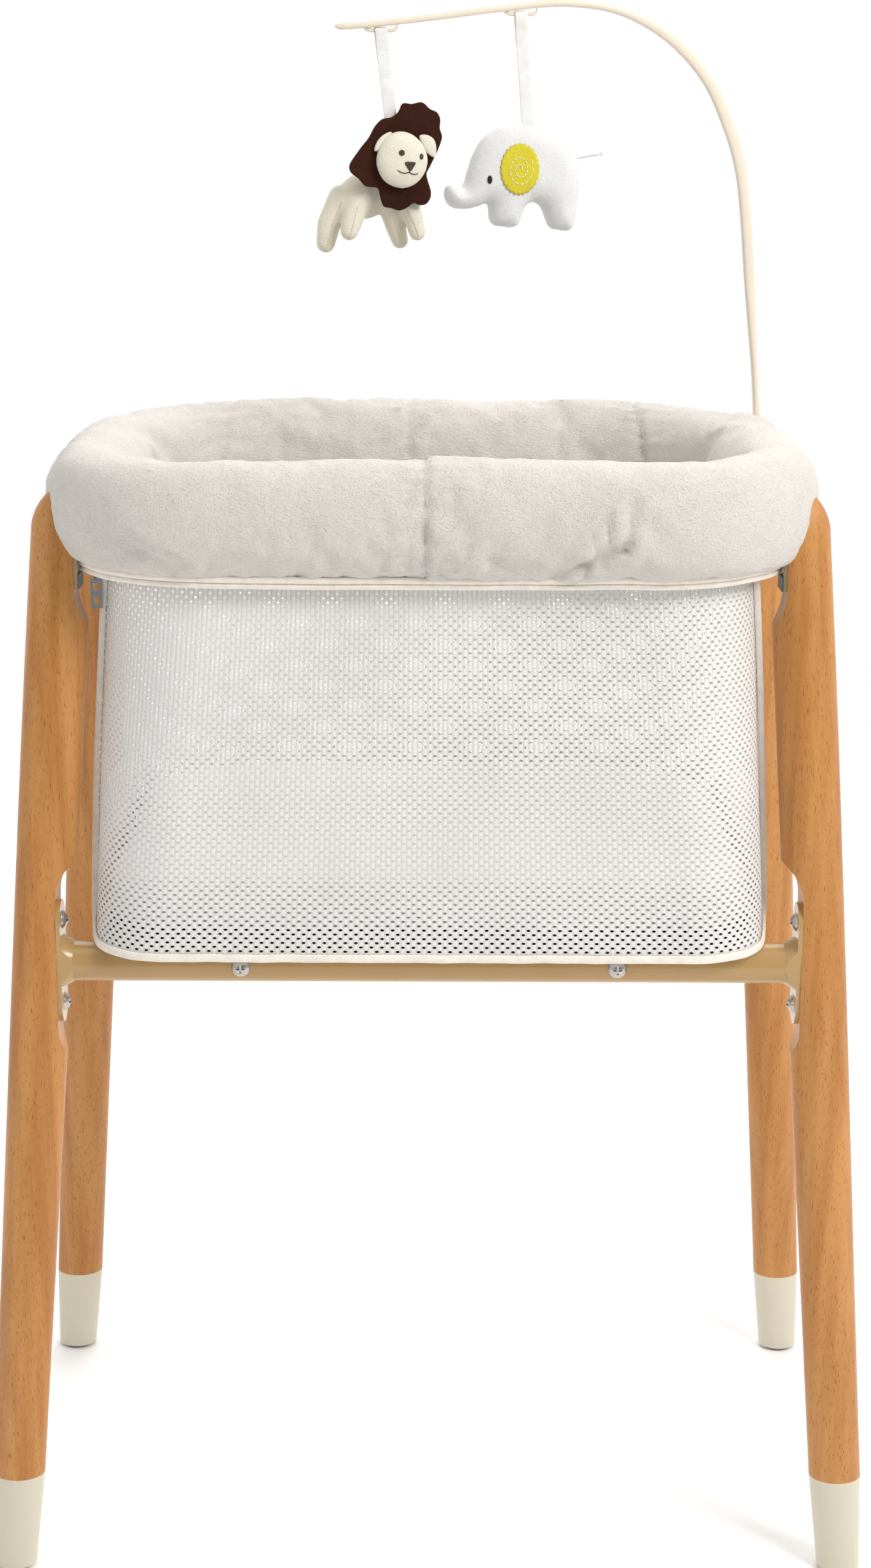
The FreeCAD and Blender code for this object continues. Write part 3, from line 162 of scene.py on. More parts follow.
def knitMaterial():
    knit = {"thread": (0.80, 0.785, 0.77), "shadow": (0.74, 0.73, 0.72), "roundness": 0.0004}
    mat, tree, shader = newMaterial("knit", knit["thread"], 0.85)
    ribs = tree.nodes.new("ShaderNodeTexWave")
    ribs.wave_profile = "SIN"
    ribs.inputs["Scale"].default_value = math.pi / 10
    ribs.inputs["Distortion"].default_value = 0
    tree.links.new(coords(tree, "UV"), ribs.inputs["Vector"])
    thread = noiseNode(tree, coords(tree), 2600, 2)
    cloudy = noiseNode(tree, coords(tree), 9, 3)
    tone = ramp(tree, cloudy, [(0.3, shade(knit["thread"], 0.94)), (0.7, shade(knit["thread"], 1.03))])
    shaded = ramp(tree, ribs.outputs["Fac"], [(0, shade(knit["shadow"], 1)), (0.5, (1, 1, 1))])
    tree.links.new(mixColor(tree, 0.6, tone, shaded, "MULTIPLY"), shader.inputs["Base Color"])
    bump(tree, shader, ribs.outputs["Fac"], 0.5, knit["roundness"])
    bump(tree, shader, thread, 0.35, 0.0003)
    return mat


def wovenMaterial(name, color, across, along, depth=0.0003, rough=0.8):
    mat, tree, shader = newMaterial(name, color, rough)
    for axis, count in (("X", across), ("Y", along)):
        weave = tree.nodes.new("ShaderNodeTexWave")
        weave.bands_direction = axis
        weave.inputs["Scale"].default_value = count
        weave.inputs["Distortion"].default_value = 0.3
        tree.links.new(coords(tree, "UV"), weave.inputs["Vector"])
        bump(tree, shader, weave.outputs["Fac"], 0.35, depth)
    cloudy = noiseNode(tree, coords(tree), 120, 3)
    tone = ramp(tree, cloudy, [(0.3, shade(color, 0.93)), (0.7, shade(color, 1.05))])
    tree.links.new(tone, shader.inputs["Base Color"])
    return mat


finish = {
    "wood": woodMaterial(),
    "cream": plainMaterial("creamPlastic", (0.64, 0.59, 0.475), 0.38, 60, 0.03, 0.02),
    "armCream": plainMaterial("armPlastic", (0.78, 0.70, 0.58), 0.42, 60, 0.02, 0.02),
    "nylon": plainMaterial("greyNylon", (0.18, 0.18, 0.175), 0.6, 500, 0.1),
    "tan": plainMaterial("tanPaint", (0.46, 0.285, 0.110), 0.24, 60, 0.02, 0.04, **{"Coat Weight": 0.2}),
    "screw": plainMaterial("screwSteel", (0.50, 0.48, 0.45), 0.26, 600, 0.08, 0.05, Metallic=1.0),
    "brass": plainMaterial("brass", (0.62, 0.44, 0.16), 0.35, 600, 0.1, 0.05, Metallic=1.0),
    "gold": plainMaterial("goldSteel", (0.52, 0.40, 0.22), 0.35, 60, 0.02, 0.05, Metallic=0.1),
    "whitePlastic": plainMaterial("whitePlastic", (0.82, 0.81, 0.78), 0.35, 700, 0.05, 0.02),
    "chrome": plainMaterial("chrome", (0.50, 0.50, 0.50), 0.22, 500, 0.04, 0.03, Metallic=1.0),
    # near-black base board: partly its own dark cover, partly painted shade standing for the shadow under the
    # mattress edge
    "board": plainMaterial("boardWithPaintedShade", (0.020, 0.015, 0.013), 0.8, 700, 0.2, 0.2),
    "plush": plushMaterial("rimPlush", (0.82, 0.775, 0.725), 900, 0.0030, 0.05),
    "knit": knitMaterial(),
    "trim": wovenMaterial("creamTrim", (0.86, 0.80, 0.72), 40, 0.8, 0.0001),
    "cotton": wovenMaterial("whiteCotton", (0.84, 0.83, 0.81), 140, 140),
    "ribbon": wovenMaterial("ribbon", (0.80, 0.785, 0.765), 18, 0.8, 0.00012),
    "mane": plushMaterial("brownFelt", (0.044, 0.013, 0.007), 1300, 0.0014, 0.3, 0.0),
    "lion": plushMaterial("creamPlush", (0.86, 0.82, 0.68), 1500, 0.0010, 0.04),
    "lionBody": plushMaterial("warmPlush", (0.86, 0.81, 0.66), 1500, 0.0010, 0.05),
    "elephant": plushMaterial("greyPlush", (0.84, 0.84, 0.83), 1700, 0.0010, 0.06),
    "yellow": plushMaterial("yellowFelt", (0.70, 0.60, 0.045), 1500, 0.0007, 0.08, 0.0),
    "brown": plainMaterial("brownThread", (0.045, 0.020, 0.012), 0.55, 3000, 0.3),
    "black": plainMaterial("blackThread", (0.012, 0.011, 0.012), 0.35, 2500, 0.2),
    "white": plainMaterial("whiteThread", (0.86, 0.86, 0.84), 0.7, 3000, 0.3),
    "floor": plainMaterial("floor", (0.97, 0.97, 0.97), 0.9, 40, 0.0, 0.01),
}
print("materials made")

cadFinish = {
    "beech_wood": "wood", "cream_plastic": "cream", "grey_nylon": "nylon", "tan_paint": "tan",
    "screw_steel": "screw", "insert_brass": "brass", "grey_steel": "gold", "white_plastic": "whitePlastic",
    "bright_metal": "chrome", "fibre_board": "board", "white_cotton": "cotton", "cream_trim": "trim",
    "white_mesh": "knit", "rim_plush": "plush", "foam": "plush", "brown_felt": "mane",
    "cream_plush": "lion", "grey_fabric": "elephant", "yellow_felt": "yellow",
}
for part in frame["record"]["subparts"]:
    node = frame["nodes"][part["node"]]
    node.data.materials.clear()
    node.data.materials.append(finish[cadFinish[part["material_slot"]]])
print("CAD pieces painted")


# building helpers
def makePiece(name, bm, material, body="stand", smooth=True):
    bmesh.ops.recalc_face_normals(bm, faces=bm.faces)
    mesh = bpy.data.meshes.new(name)
    bm.to_mesh(mesh)
    bm.free()
    for face in mesh.polygons:
        face.use_smooth = smooth
    piece = bpy.data.objects.new(name, mesh)
    scene.collection.objects.link(piece)
    mesh.materials.append(finish[material])
    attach(piece, body)
    return piece


# a grid bent onto a surface; place(u, v) gives each vertex, and edges that meet are joined
def wrapGrid(bm, cols, rows, place, join=2e-5):
    made = bmesh.ops.create_grid(bm, x_segments=cols, y_segments=rows, size=0.5, calc_uvs=True)
    for vert in made["verts"]:
        vert.co = place(vert.co.x + 0.5, vert.co.y + 0.5)
    if join:
        bmesh.ops.remove_doubles(bm, verts=made["verts"], dist=join)
    return made["verts"]


def newBm():
    bm = bmesh.new()
    bm.loops.layers.uv.new("UVMap")
    return bm


def bake(piece):
    graph = bpy.context.evaluated_depsgraph_get()
    mesh = bpy.data.meshes.new_from_object(piece.evaluated_get(graph))
    old = piece.data
    piece.modifiers.clear()
    piece.data = mesh
    bpy.data.meshes.remove(old)


# the cover is blown up a little against its sewn lines, and nothing moves further than the cap
def settle(piece, sewn, settings):
    start = [vert.co.copy() for vert in piece.data.vertices]
    group = piece.vertex_groups.new(name="sewn")
    if sewn:
        group.add(sewn, 1, "REPLACE")
    cloth = piece.modifiers.new("puff", "CLOTH")
    cloth.settings.vertex_group_mass = "sewn"
    cloth.settings.quality = settings["quality"]
    cloth.settings.mass = settings["mass"]
    cloth.settings.tension_stiffness = settings["tension"]
    cloth.settings.compression_stiffness = settings["tension"]
    cloth.settings.bending_stiffness = settings["bending"]
    cloth.settings.shrink_min = settings["shrink"]
    cloth.settings.use_pressure = True
    cloth.settings.uniform_pressure_force = settings["pressure"]
    cloth.settings.effector_weights.gravity = 0
    cloth.collision_settings.use_collision = False
    cloth.collision_settings.use_self_collision = False
    cloth.point_cache.frame_start = 1
    cloth.point_cache.frame_end = settings["frames"]
    for step in range(1, settings["frames"] + 1):
        scene.frame_set(step)
    bake(piece)
    piece.vertex_groups.clear()
    for vert, before in zip(piece.data.vertices, start):
        move = vert.co - before
        if move.length > settings["cap"]:
            vert.co = before + move * (settings["cap"] / move.length)
    scene.frame_set(1)


# a point on a rounded oblong and the way out from it, so far round from the middle of its front
def outlineAt(dist, size):
    halfX, halfY, front, rear = size
    runs = (halfX - front, front * math.pi / 2, 2 * halfY - front - rear, rear * math.pi / 2, halfX - rear)
    half = sum(runs)
    dist = dist % (2 * half)
    side = 1
    if dist > half:
        dist = 2 * half - dist
        side = -1
    if dist < runs[0]:
        spot = Vector((dist, -halfY, 0))
        out = Vector((0, -1, 0))
    elif dist < sum(runs[:2]):
        turn = (dist - runs[0]) / front
        out = Vector((math.sin(turn), -math.cos(turn), 0))
        spot = Vector((halfX - front, front - halfY, 0)) + out * front
    elif dist < sum(runs[:3]):
        out = Vector((1, 0, 0))
        spot = Vector((halfX, front - halfY + dist - sum(runs[:2]), 0))
    elif dist < sum(runs[:4]):
        turn = (dist - sum(runs[:3])) / rear
        out = Vector((math.cos(turn), math.sin(turn), 0))
        spot = Vector((halfX - rear, halfY - rear, 0)) + out * rear
    else:
        out = Vector((0, 1, 0))
        spot = Vector((halfX - rear - (dist - sum(runs[:4])), halfY, 0))
    spot.x *= side
    out.x *= side
    return spot, out


def lengthRound(size):
    halfX, halfY, front, rear = size
    return 2 * (2 * halfX + 2 * halfY - 2 * front - 2 * rear + (front + rear) * math.pi / 2)


# how far round the right side is at that depth
def distAtDepth(size, depth):
    halfX, halfY, front, rear = size
    flat = halfX - front
    if depth < front - halfY:
        return flat + front * math.acos((front - halfY - depth) / front)
    if depth < halfY - rear:
        return flat + front * math.pi / 2 + depth - (front - halfY)
    turn = math.asin((depth - halfY + rear) / rear)
    return flat + front * math.pi / 2 + 2 * halfY - front - rear + rear * turn


def smoothStep(value, low, high):
    share = min(1, max(0, (value - low) / (high - low)))
    return share * share * (3 - 2 * share)


# padded rim
rim = {
    "path": (0.262, 0.192, 0.105, 0.155), "height": 0.868, "halfWide": 0.0335, "halfTall": 0.0445,
    "cols": 420, "rows": 60, "power": 0.90,
    "seams": {"front": -0.004, "rear": (-0.018, -0.172, 0.176)},
    "groove": 0.0022, "grooveWide": 0.0022, "step": 0.0018,
    "folds": [((0.139, 0.852), (0.112, 0.838), 0.0050, 0.0050),
              ((0.112, 0.838), (0.088, 0.831), 0.0035, 0.0040),
              ((0.127, 0.874), (0.132, 0.850), 0.0030, 0.0035),
              ((0.147, 0.884), (0.142, 0.853), 0.0032, 0.0042),
              ((0.118, 0.862), (0.124, 0.842), 0.0020, 0.0030),
              ((0.040, 0.846), (0.056, 0.836), 0.0016, 0.0035),
              ((0.158, 0.872), (0.176, 0.848), 0.0018, 0.0050),
              ((-0.225, 0.852), (-0.190, 0.834), 0.0030, 0.0060),
              ((-0.235, 0.838), (-0.215, 0.846), 0.0022, 0.0040),
              ((-0.16, 0.842), (-0.10, 0.832), 0.0018, 0.0060)],
    "bump": (0.2725, 0.080, 0.0065, 0.020), "wave": 0.0016,
}
puff = {"pressure": 3.0, "shrink": -0.012, "tension": 14, "bending": 3.0, "mass": 0.25, "quality": 5,
        "frames": 20, "cap": 0.0040}
rimRound = lengthRound(rim["path"])


def rimPlace(u, v):
    spot, out = outlineAt(u * rimRound, rim["path"])
    turn = (v - 0.25) * 2 * math.pi
    across = math.copysign(abs(math.cos(turn)) ** rim["power"], math.cos(turn))
    up = math.copysign(abs(math.sin(turn)) ** rim["power"], math.sin(turn))
    high = Vector((0, 0, rim["height"] + rim["halfTall"] * up))
    return spot + out * (rim["halfWide"] * across) + high


def segmentDistance(point, start, end):
    along = end - start
    share = min(1, max(0, (point - start).dot(along) / along.length_squared))
    return (point - start - along * share).length


def seamGap(point):
    gap = 1
    if point.y < 0:
        gap = abs(point.x - rim["seams"]["front"])
    elif point.y < rim["path"][1] + 0.012:
        for place in rim["seams"]["rear"]:
            lean = place * (1 + (0.912 - point.z) * 0.9)
            gap = min(gap, abs(point.x - lean))
    return gap


bm = newBm()
wrapGrid(bm, rim["cols"], rim["rows"], rimPlace)
rimCover = makePiece("rimCover", bm, "plush")
sewn = []
for vert in rimCover.data.vertices:
    if seamGap(vert.co) < 0.0022 or vert.co.z < rim["height"] - rim["halfTall"] * 0.93:
        sewn.append(vert.index)
    vert.co += vert.normal * (rim["wave"] * noise.noise(vert.co * 24) + 0.0008 * noise.noise(vert.co * 70))
settle(rimCover, sewn, puff)
for vert in rimCover.data.vertices:
    here = vert.co.copy()
    normal = vert.normal.copy()
    shift = -rim["groove"] * math.exp(-(seamGap(here) / rim["grooveWide"]) ** 2)
    gathers = math.exp(-(seamGap(here) / 0.030) ** 2)
    shift += gathers * 0.0009 * math.sin(here.z * 900 + 6 * noise.noise(here * 30))
    shift += 0.0007 * noise.noise(Vector((here.x * 160, here.y * 160, here.z * 320)))
    if here.y < 0:
        shift += rim["step"] * (0.5 + 0.5 * math.tanh((here.x - rim["seams"]["front"]) / 0.002))
        flat = Vector((here.x, here.z))
        for start, end, depth, wide in rim["folds"]:
            gap = segmentDistance(flat, Vector(start), Vector(end))
            shift -= depth * math.exp(-(gap / wide) ** 2)
            shift += 0.4 * depth * math.exp(-((gap - 2.2 * wide) / wide) ** 2)
    armX, armY, tall, wide = rim["bump"]
    if here.z > rim["height"]:
        near = ((here.x - armX) ** 2 + (here.y - armY) ** 2) / wide ** 2
        shift += tall * math.exp(-near * near)
    vert.co = here + normal * shift
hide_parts("rim_cover_left", "rim_cover_right", "rim_foam")
print("rim made", len(rimCover.data.vertices))

# rim piping, a double cord under the rim
piping = {"cords": [(0.0148, 0.8255, 0.0028), (0.0140, 0.8205, 0.0022)], "cols": 420, "rows": 10,
          "wave": 0.0012}
bm = newBm()
for offset, height, radius in piping["cords"]:
    grown = tuple(side + offset for side in rim["path"])

    def cordPlace(u, v, grown=grown, height=height, radius=radius):
        spot, out = outlineAt(u * lengthRound(grown), grown)
        turn = v * 2 * math.pi
        sway = piping["wave"] * noise.noise(spot * 18)
        high = Vector((0, 0, height + radius * math.sin(turn) + sway))
        return spot + out * (radius * math.cos(turn) + sway) + high

    wrapGrid(bm, piping["cols"], piping["rows"], cordPlace)
rimPiping = makePiece("rimPiping", bm, "trim")
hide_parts("rim_piping")
print("piping made")

# net walls
wall = {
    "top": (0.251, 0.194, 0.090, 0.140), "bottom": (0.263, 0.200, 0.060, 0.100),
    "high": 0.8215, "low": 0.5290, "colPitch": 0.00385, "rowPitch": 0.00343,
    "holeWide": 0.78, "holeTall": 0.50, "corner": 0.26, "zipDepth": -0.132, "rearDepth": 0.095,
}


def wallSize(v):
    return tuple(low + (high - low) * v for low, high in zip(wall["bottom"], wall["top"]))


def wallAt(dist, v, out=0.0):
    spot, normal = outlineAt(dist, wallSize(v))
    return spot + normal * out + Vector((0, 0, wall["low"] + (wall["high"] - wall["low"]) * v))


# each wall's two ends, as distances round at that height
def frontSpan(v):
    reach = distAtDepth(wallSize(v), wall["zipDepth"])
    return -reach, reach


def rightSpan(v):
    size = wallSize(v)
    return distAtDepth(size, wall["zipDepth"]), distAtDepth(size, wall["rearDepth"])


def leftSpan(v):
    near, far = rightSpan(v)
    return -far, -near


def rearSpan(v):
    size = wallSize(v)
    reach = distAtDepth(size, wall["rearDepth"])
    return reach, lengthRound(size) - reach


def makeNet(name, span, node):
    low, high = span(0.5)
    cols = round((high - low) / wall["colPitch"])
    rows = round((wall["high"] - wall["low"]) / wall["rowPitch"])
    bm = newBm()
    bmesh.ops.create_grid(bm, x_segments=cols, y_segments=rows, size=0.5, calc_uvs=True)
    bmesh.ops.scale(bm, vec=(cols, rows, 1), verts=bm.verts)
    holes = []
    for face in bm.faces:
        middle = face.calc_center_median()
        if (math.floor(middle.x + cols / 2) + math.floor(middle.y + rows / 2)) % 2 == 0:
            holes.append(face)
    bmesh.ops.inset_individual(bm, faces=holes, thickness=(1 - wall["holeWide"]) / 2)
    corners = []
    for face in holes:
        face.material_index = 1
        middle = face.calc_center_median()
        for vert in face.verts:
            vert.co.y = middle.y + (vert.co.y - middle.y) * wall["holeTall"] / wall["holeWide"]
            corners.append(vert)
    bmesh.ops.bevel(bm, geom=corners, offset=wall["corner"], segments=1, affect="VERTICES", material=-1)
    bmesh.ops.delete(bm, geom=[f for f in bm.faces if f.material_index == 1], context="FACES_ONLY")
    uv = bm.loops.layers.uv[0]
    for face in bm.faces:
        for loop in face.loops:
            loop[uv].uv = (loop.vert.co.x + cols / 2, loop.vert.co.y + rows / 2)
    for vert in bm.verts:
        u = vert.co.x / cols + 0.5
        v = min(1, max(0, vert.co.y / rows + 0.5))
        start, end = span(v)
        sway = 0.0008 * noise.noise(Vector((u * (high - low) * 12, v * 3, low)))
        vert.co = wallAt(start + (end - start) * u, v, sway)
    net = makePiece(name, bm, "knit")
    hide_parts(node)
    return net


for name, span, node in (("frontNet", frontSpan, "front_mesh_panel"),
                         ("rightNet", rightSpan, "right_mesh_panel"),
                         ("leftNet", leftSpan, "left_mesh_panel"), ("rearNet", rearSpan, "rear_mesh_panel")):
    made = makeNet(name, span, node)
    print(name, len(made.data.polygons))

# bindings, zip tapes and hem
binding = {"wide": 0.0030, "proud": 0.0027, "turn": 0.034, "hemHigh": 0.0064, "hemProud": 0.0014,
           "steps": 420}


# the front panel's edge: down one side, round into the hem, along it and up the other side
def bindingPath(share):
    reachTop = distAtDepth(wallSize(0.5), wall["zipDepth"])
    tall = wall["high"] - wall["low"]
    turn = binding["turn"]
    side = tall - turn
    flat = 2 * (reachTop - turn)
    arc = turn * math.pi / 2
    dist = share * (2 * side + 2 * arc + flat)
    mirrored = 1
    if dist > side + arc + flat / 2:
        dist = 2 * side + 2 * arc + flat - dist
        mirrored = -1
    if dist < side:
        across, up = -reachTop, tall - dist
    elif dist < side + arc:
        angle = (dist - side) / turn
        across, up = -reachTop + turn - turn * math.cos(angle), turn - turn * math.sin(angle)
    else:
        across, up = -reachTop + turn + dist - side - arc, 0
    return across / reachTop * mirrored, up / tall


def stripAt(share, across, out):
    here = bindingPath(share)
    ahead = bindingPath(min(1, share + 0.001))
    behind = bindingPath(max(0, share - 0.001))
    reach = distAtDepth(wallSize(0.5), wall["zipDepth"])
    tall = wall["high"] - wall["low"]
    along = Vector(((ahead[0] - behind[0]) * reach, (ahead[1] - behind[1]) * tall, 0)).normalized()
    side = Vector((-along.y, along.x, 0))
    u = here[0] + side.x * across / reach
    v = here[1] + side.y * across / tall
    start, end = frontSpan(min(1, max(0, v)))
    drop = min(0, v) * tall
    spot = wallAt(u * end, min(1, max(0, v)), out)
    spot.z += drop
    return spot


def bindingPlace(u, v):
    turn = v * 2 * math.pi
    flat = 1 - smoothStep(bindingPath(u)[1], 0.01, 0.10)
    wide = (binding["wide"] + (binding["hemHigh"] - binding["wide"]) * flat) / 2
    proud = binding["proud"] + (binding["hemProud"] - binding["proud"]) * flat
    wavy = 0.0005 * noise.noise(Vector((u * 60, 0, 0)))
    across = wide * math.copysign(abs(math.cos(turn)) ** 0.6, math.cos(turn)) + wavy
    out = proud * (1 + math.copysign(abs(math.sin(turn)) ** 0.6, math.sin(turn)))
    return stripAt(u, across, out + 0.0003)


bm = newBm()
wrapGrid(bm, binding["steps"], 12, bindingPlace)
bmesh.ops.holes_fill(bm, edges=[e for e in bm.edges if e.is_boundary], sides=16)
frontBinding = makePiece("frontBinding", bm, "trim")
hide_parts("front_hem_piping")

zipTape = {"wide": 0.010, "thick": 0.0009, "tooth": (0.0011, 0.0014, 0.0010), "pitch": 0.0021}


def makeTape(name, side, node):
    tall = wall["high"] - wall["low"]

    def tapePlace(u, v):
        high = 1 - u * 0.985
        middle = distAtDepth(wallSize(high), wall["zipDepth"]) + 0.0055
        turn = v * 2 * math.pi
        across = zipTape["wide"] / 2 * math.copysign(abs(math.cos(turn)) ** 0.5, math.cos(turn))
        out = zipTape["thick"] / 2 * (1 + math.copysign(abs(math.sin(turn)) ** 0.5, math.sin(turn)))
        return wallAt(side * (middle + across), high, out + 0.0002)

    bm = newBm()
    wrapGrid(bm, 90, 12, tapePlace)
    bmesh.ops.holes_fill(bm, edges=[e for e in bm.edges if e.is_boundary], sides=16)
    count = int(tall * 0.97 / zipTape["pitch"])
    for index in range(count):
        high = 1 - (index + 0.5) * zipTape["pitch"] / tall
        middle = distAtDepth(wallSize(high), wall["zipDepth"]) + 0.0050
        spot = wallAt(side * middle, high, 0.0013)
        matrix = Matrix.Translation(spot) @ Matrix.Diagonal((*zipTape["tooth"], 1))
        bmesh.ops.create_icosphere(bm, subdivisions=1, radius=1, matrix=matrix)
    tape = makePiece(name, bm, "trim")
    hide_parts(node)
    return tape


makeTape("leftTape", -1, "zip_tape_left")
makeTape("rightTape", 1, "zip_tape_right")
print("bindings and tapes made")

# basket floor and mattress
floorLow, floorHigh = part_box("basket_floor")
floorCloth = {"inset": 0.0006, "cols": 96, "rows": 40, "sag": 0.0006}
base = wallSize(0)


def floorPlace(u, v):
    spot, out = outlineAt(u * lengthRound(base), base)
    here = (spot - out * floorCloth["inset"]) * v
    ripple = floorCloth["sag"] * noise.noise(here * 14)
    return here + Vector((0, 0, (floorLow.z + floorHigh.z) / 2 + ripple * (1 - v)))


bm = newBm()
wrapGrid(bm, floorCloth["cols"], floorCloth["rows"], floorPlace)
basketFloor = makePiece("basketFloor", bm, "cotton")
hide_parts("basket_floor")

bedLow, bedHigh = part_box("mattress")
bed = {"cols": 200, "rows": 64, "corner": 0.012, "front": 0.050, "rear": 0.092, "crown": 0.003}
bedPuff = {"pressure": 2.0, "shrink": -0.01, "tension": 15, "bending": 2.0, "mass": 0.3, "quality": 5,
           "frames": 14, "cap": 0.003}
bedSize = (bedHigh.x, bedHigh.y, bed["front"], bed["rear"])


def bedPlace(u, v):
    half = (bedHigh.z - bedLow.z) / 2
    corner = bed["corner"]
    spot, out = outlineAt(u * lengthRound(bedSize), bedSize)
    flat = 0.42
    if v < flat:
        share = v / flat
        return (spot - out * corner) * share + Vector((0, 0, bedLow.z + 0.0002))
    if v > 1 - flat:
        share = (1 - v) / flat
        rise = bed["crown"] * (1 - share * share) - bed["crown"]
        return (spot - out * corner) * share + Vector((0, 0, bedHigh.z + rise * 0.6))
    turn = ((v - flat) / (1 - 2 * flat) - 0.5) * math.pi
    across = math.copysign(abs(math.cos(turn)) ** 0.55, math.cos(turn))
    up = math.copysign(abs(math.sin(turn)) ** 0.55, math.sin(turn))
    top = bedHigh.z - bed["crown"] * 0.6 - bedLow.z
    return spot - out * corner * (1 - across) + Vector((0, 0, bedLow.z + 0.0002 + top * (0.5 + 0.5 * up)))


bm = newBm()
wrapGrid(bm, bed["cols"], bed["rows"], bedPlace)
mattress = makePiece("mattressPad", bm, "cotton", "mattress_body")
low = [vert.index for vert in mattress.data.vertices if vert.co.z < bedLow.z + 0.002]
settle(mattress, low, bedPuff)
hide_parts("mattress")
print("floor and mattress made")

# toys: shared helpers
toyTurn = math.radians(12.7)


def toyMatrix(hang):
    return Matrix.Translation(Vector(hang)) @ Matrix.Rotation(toyTurn, 4, "Z") @ Matrix.Scale(mm, 4)


def smoothLoop(points, steps):
    count = len(points)
    made = []
    for index in range(count):
        before, start, end, after = (Vector(points[(index + k) % count]) for k in (-1, 0, 1, 2))
        for step in range(steps):
            t = step / steps
            made.append(0.5 * (2 * start + (end - before) * t
                               + (2 * before - 5 * start + 4 * end - after) * t * t
                        + (3 * start - before - 3 * end + after) * t ** 3))
    return made


def remesh(piece, voxel, rounds):
    mod = piece.modifiers.new("remesh", "REMESH")
    mod.mode = "VOXEL"
    mod.voxel_size = voxel
    mod.use_smooth_shade = True
    soften = piece.modifiers.new("soften", "SMOOTH")
    soften.iterations = rounds
    soften.factor = 0.5
    bake(piece)


def outlineGap(x, z, outline):
    here = Vector((x, z))
    best = 1e9
    for index in range(len(outline)):
        best = min(best, segmentDistance(here, outline[index - 1], outline[index]))
    return best


# two layers cut to one outline, stuffed so that they swell away from the edge
def stuffed(name, points, middle, settings, material, body, hang):
    outline = smoothLoop(points, settings.get("steps", 3))
    bm = newBm()
    verts = [bm.verts.new((p.x, middle - 1.2, p.y)) for p in outline]
    face = bm.faces.new(verts)
    made = bmesh.ops.extrude_face_region(bm, geom=[face])
    moved = [g for g in made["geom"] if isinstance(g, bmesh.types.BMVert)]
    bmesh.ops.translate(bm, vec=(0, 2.4, 0), verts=moved)
    bmesh.ops.triangulate(bm, faces=bm.faces)
    piece = makePiece(name, bm, material, body)
    remesh(piece, settings["voxel"], 0)
    for vert in piece.data.vertices:
        gap = outlineGap(vert.co.x, vert.co.z, outline)
        rise = min(1, gap / settings["reach"])
        swell = settings["thick"] * math.sqrt(max(0, 1 - (1 - rise) ** 2))
        front = -1 if vert.co.y < middle else 1
        vert.co.y = middle + front * (0.9 + swell)
    remesh(piece, settings["voxel"], settings["smooth"])
    piece.data.transform(toyMatrix(hang))
    return piece


# round forms joined into one skin; each is (centre, half sizes)
def blob(name, forms, voxel, rounds, material, body, hang):
    bm = newBm()
    for centre, sizes in forms:
        matrix = Matrix.Translation(Vector(centre)) @ Matrix.Diagonal((*sizes, 1))
        bmesh.ops.create_uvsphere(bm, u_segments=28, v_segments=18, radius=1, matrix=matrix)
    piece = makePiece(name, bm, material, body)
    remesh(piece, voxel, rounds)
    piece.data.transform(toyMatrix(hang))
    return piece


def chain(points, count):
    made = []
    for (start, first), (end, last) in zip(points, points[1:]):
        for index in range(count):
            t = index / count
            size = first + (last - first) * t
            made.append((Vector(start).lerp(Vector(end), t), (size, size, size)))
    end, last = points[-1]
    made.append((Vector(end), (last, last, last)))
    return made


# a thread laid along points, as a thin round cord
def thread(bm, points, radius, count=8):
    for start, end in zip(points, points[1:]):
        for index in range(count):
            spot = Vector(start).lerp(Vector(end), index / count)
            matrix = Matrix.Translation(spot) @ Matrix.Scale(radius, 4)
            bmesh.ops.create_icosphere(bm, subdivisions=1, radius=1, matrix=matrix)


def nearFace(piece, x, z, hang, lift=0.3):
    matrix = toyMatrix(hang)
    start = matrix @ Vector((x, -80, z))
    way = (matrix.to_3x3() @ Vector((0, 1, 0))).normalized()
    hit, spot, normal, index = piece.ray_cast(start, way)
    if not hit:
        return Vector((x, 0, z))
    local = matrix.inverted() @ spot
    return Vector((local.x, local.y - lift, local.z))


def stitched(name, piece, lines, radius, material, body, hang, close=2):
    bm = newBm()
    for line in lines:
        path = []
        for (x0, z0), (x1, z1) in zip(line, line[1:]):
            for index in range(close):
                t = index / close
                path.append(nearFace(piece, x0 + (x1 - x0) * t, z0 + (z1 - z0) * t, hang))
        path.append(nearFace(piece, *line[-1], hang))
        for start, end in zip(path, path[1:]):
            count = max(2, int((end - start).length / (radius * 0.8)))
            thread(bm, [start, end], radius, count)
    made = makePiece(name, bm, material, body)
    made.data.transform(toyMatrix(hang))
    return made


def patch(name, piece, outline, thick, material, body, hang, rings=6):
    middle = sum((Vector(p) for p in outline), Vector((0, 0))) / len(outline)
    count = len(outline)

    def patchPlace(u, v):
        edge = Vector(outline[int(round(u * count)) % count])
        spot = middle.lerp(edge, v)
        face = nearFace(piece, spot.x, spot.y, hang, 0)
        return Vector((spot.x, face.y - thick, spot.y))

    bm = newBm()
    wrapGrid(bm, count, rings, patchPlace, 0.01)
    made = makePiece(name, bm, material, body)
    solid = made.modifiers.new("thick", "SOLIDIFY")
    solid.thickness = thick
    solid.offset = -1
    bake(made)
    made.data.transform(toyMatrix(hang))
    return made


def oval(x, z, wide, tall, count=20, tilt=0.0):
    made = []
    for index in range(count):
        turn = index / count * 2 * math.pi
        a, b = wide * math.cos(turn), tall * math.sin(turn)
        made.append((x + a * math.cos(tilt) - b * math.sin(tilt),
                     z + a * math.sin(tilt) + b * math.cos(tilt)))
    return made


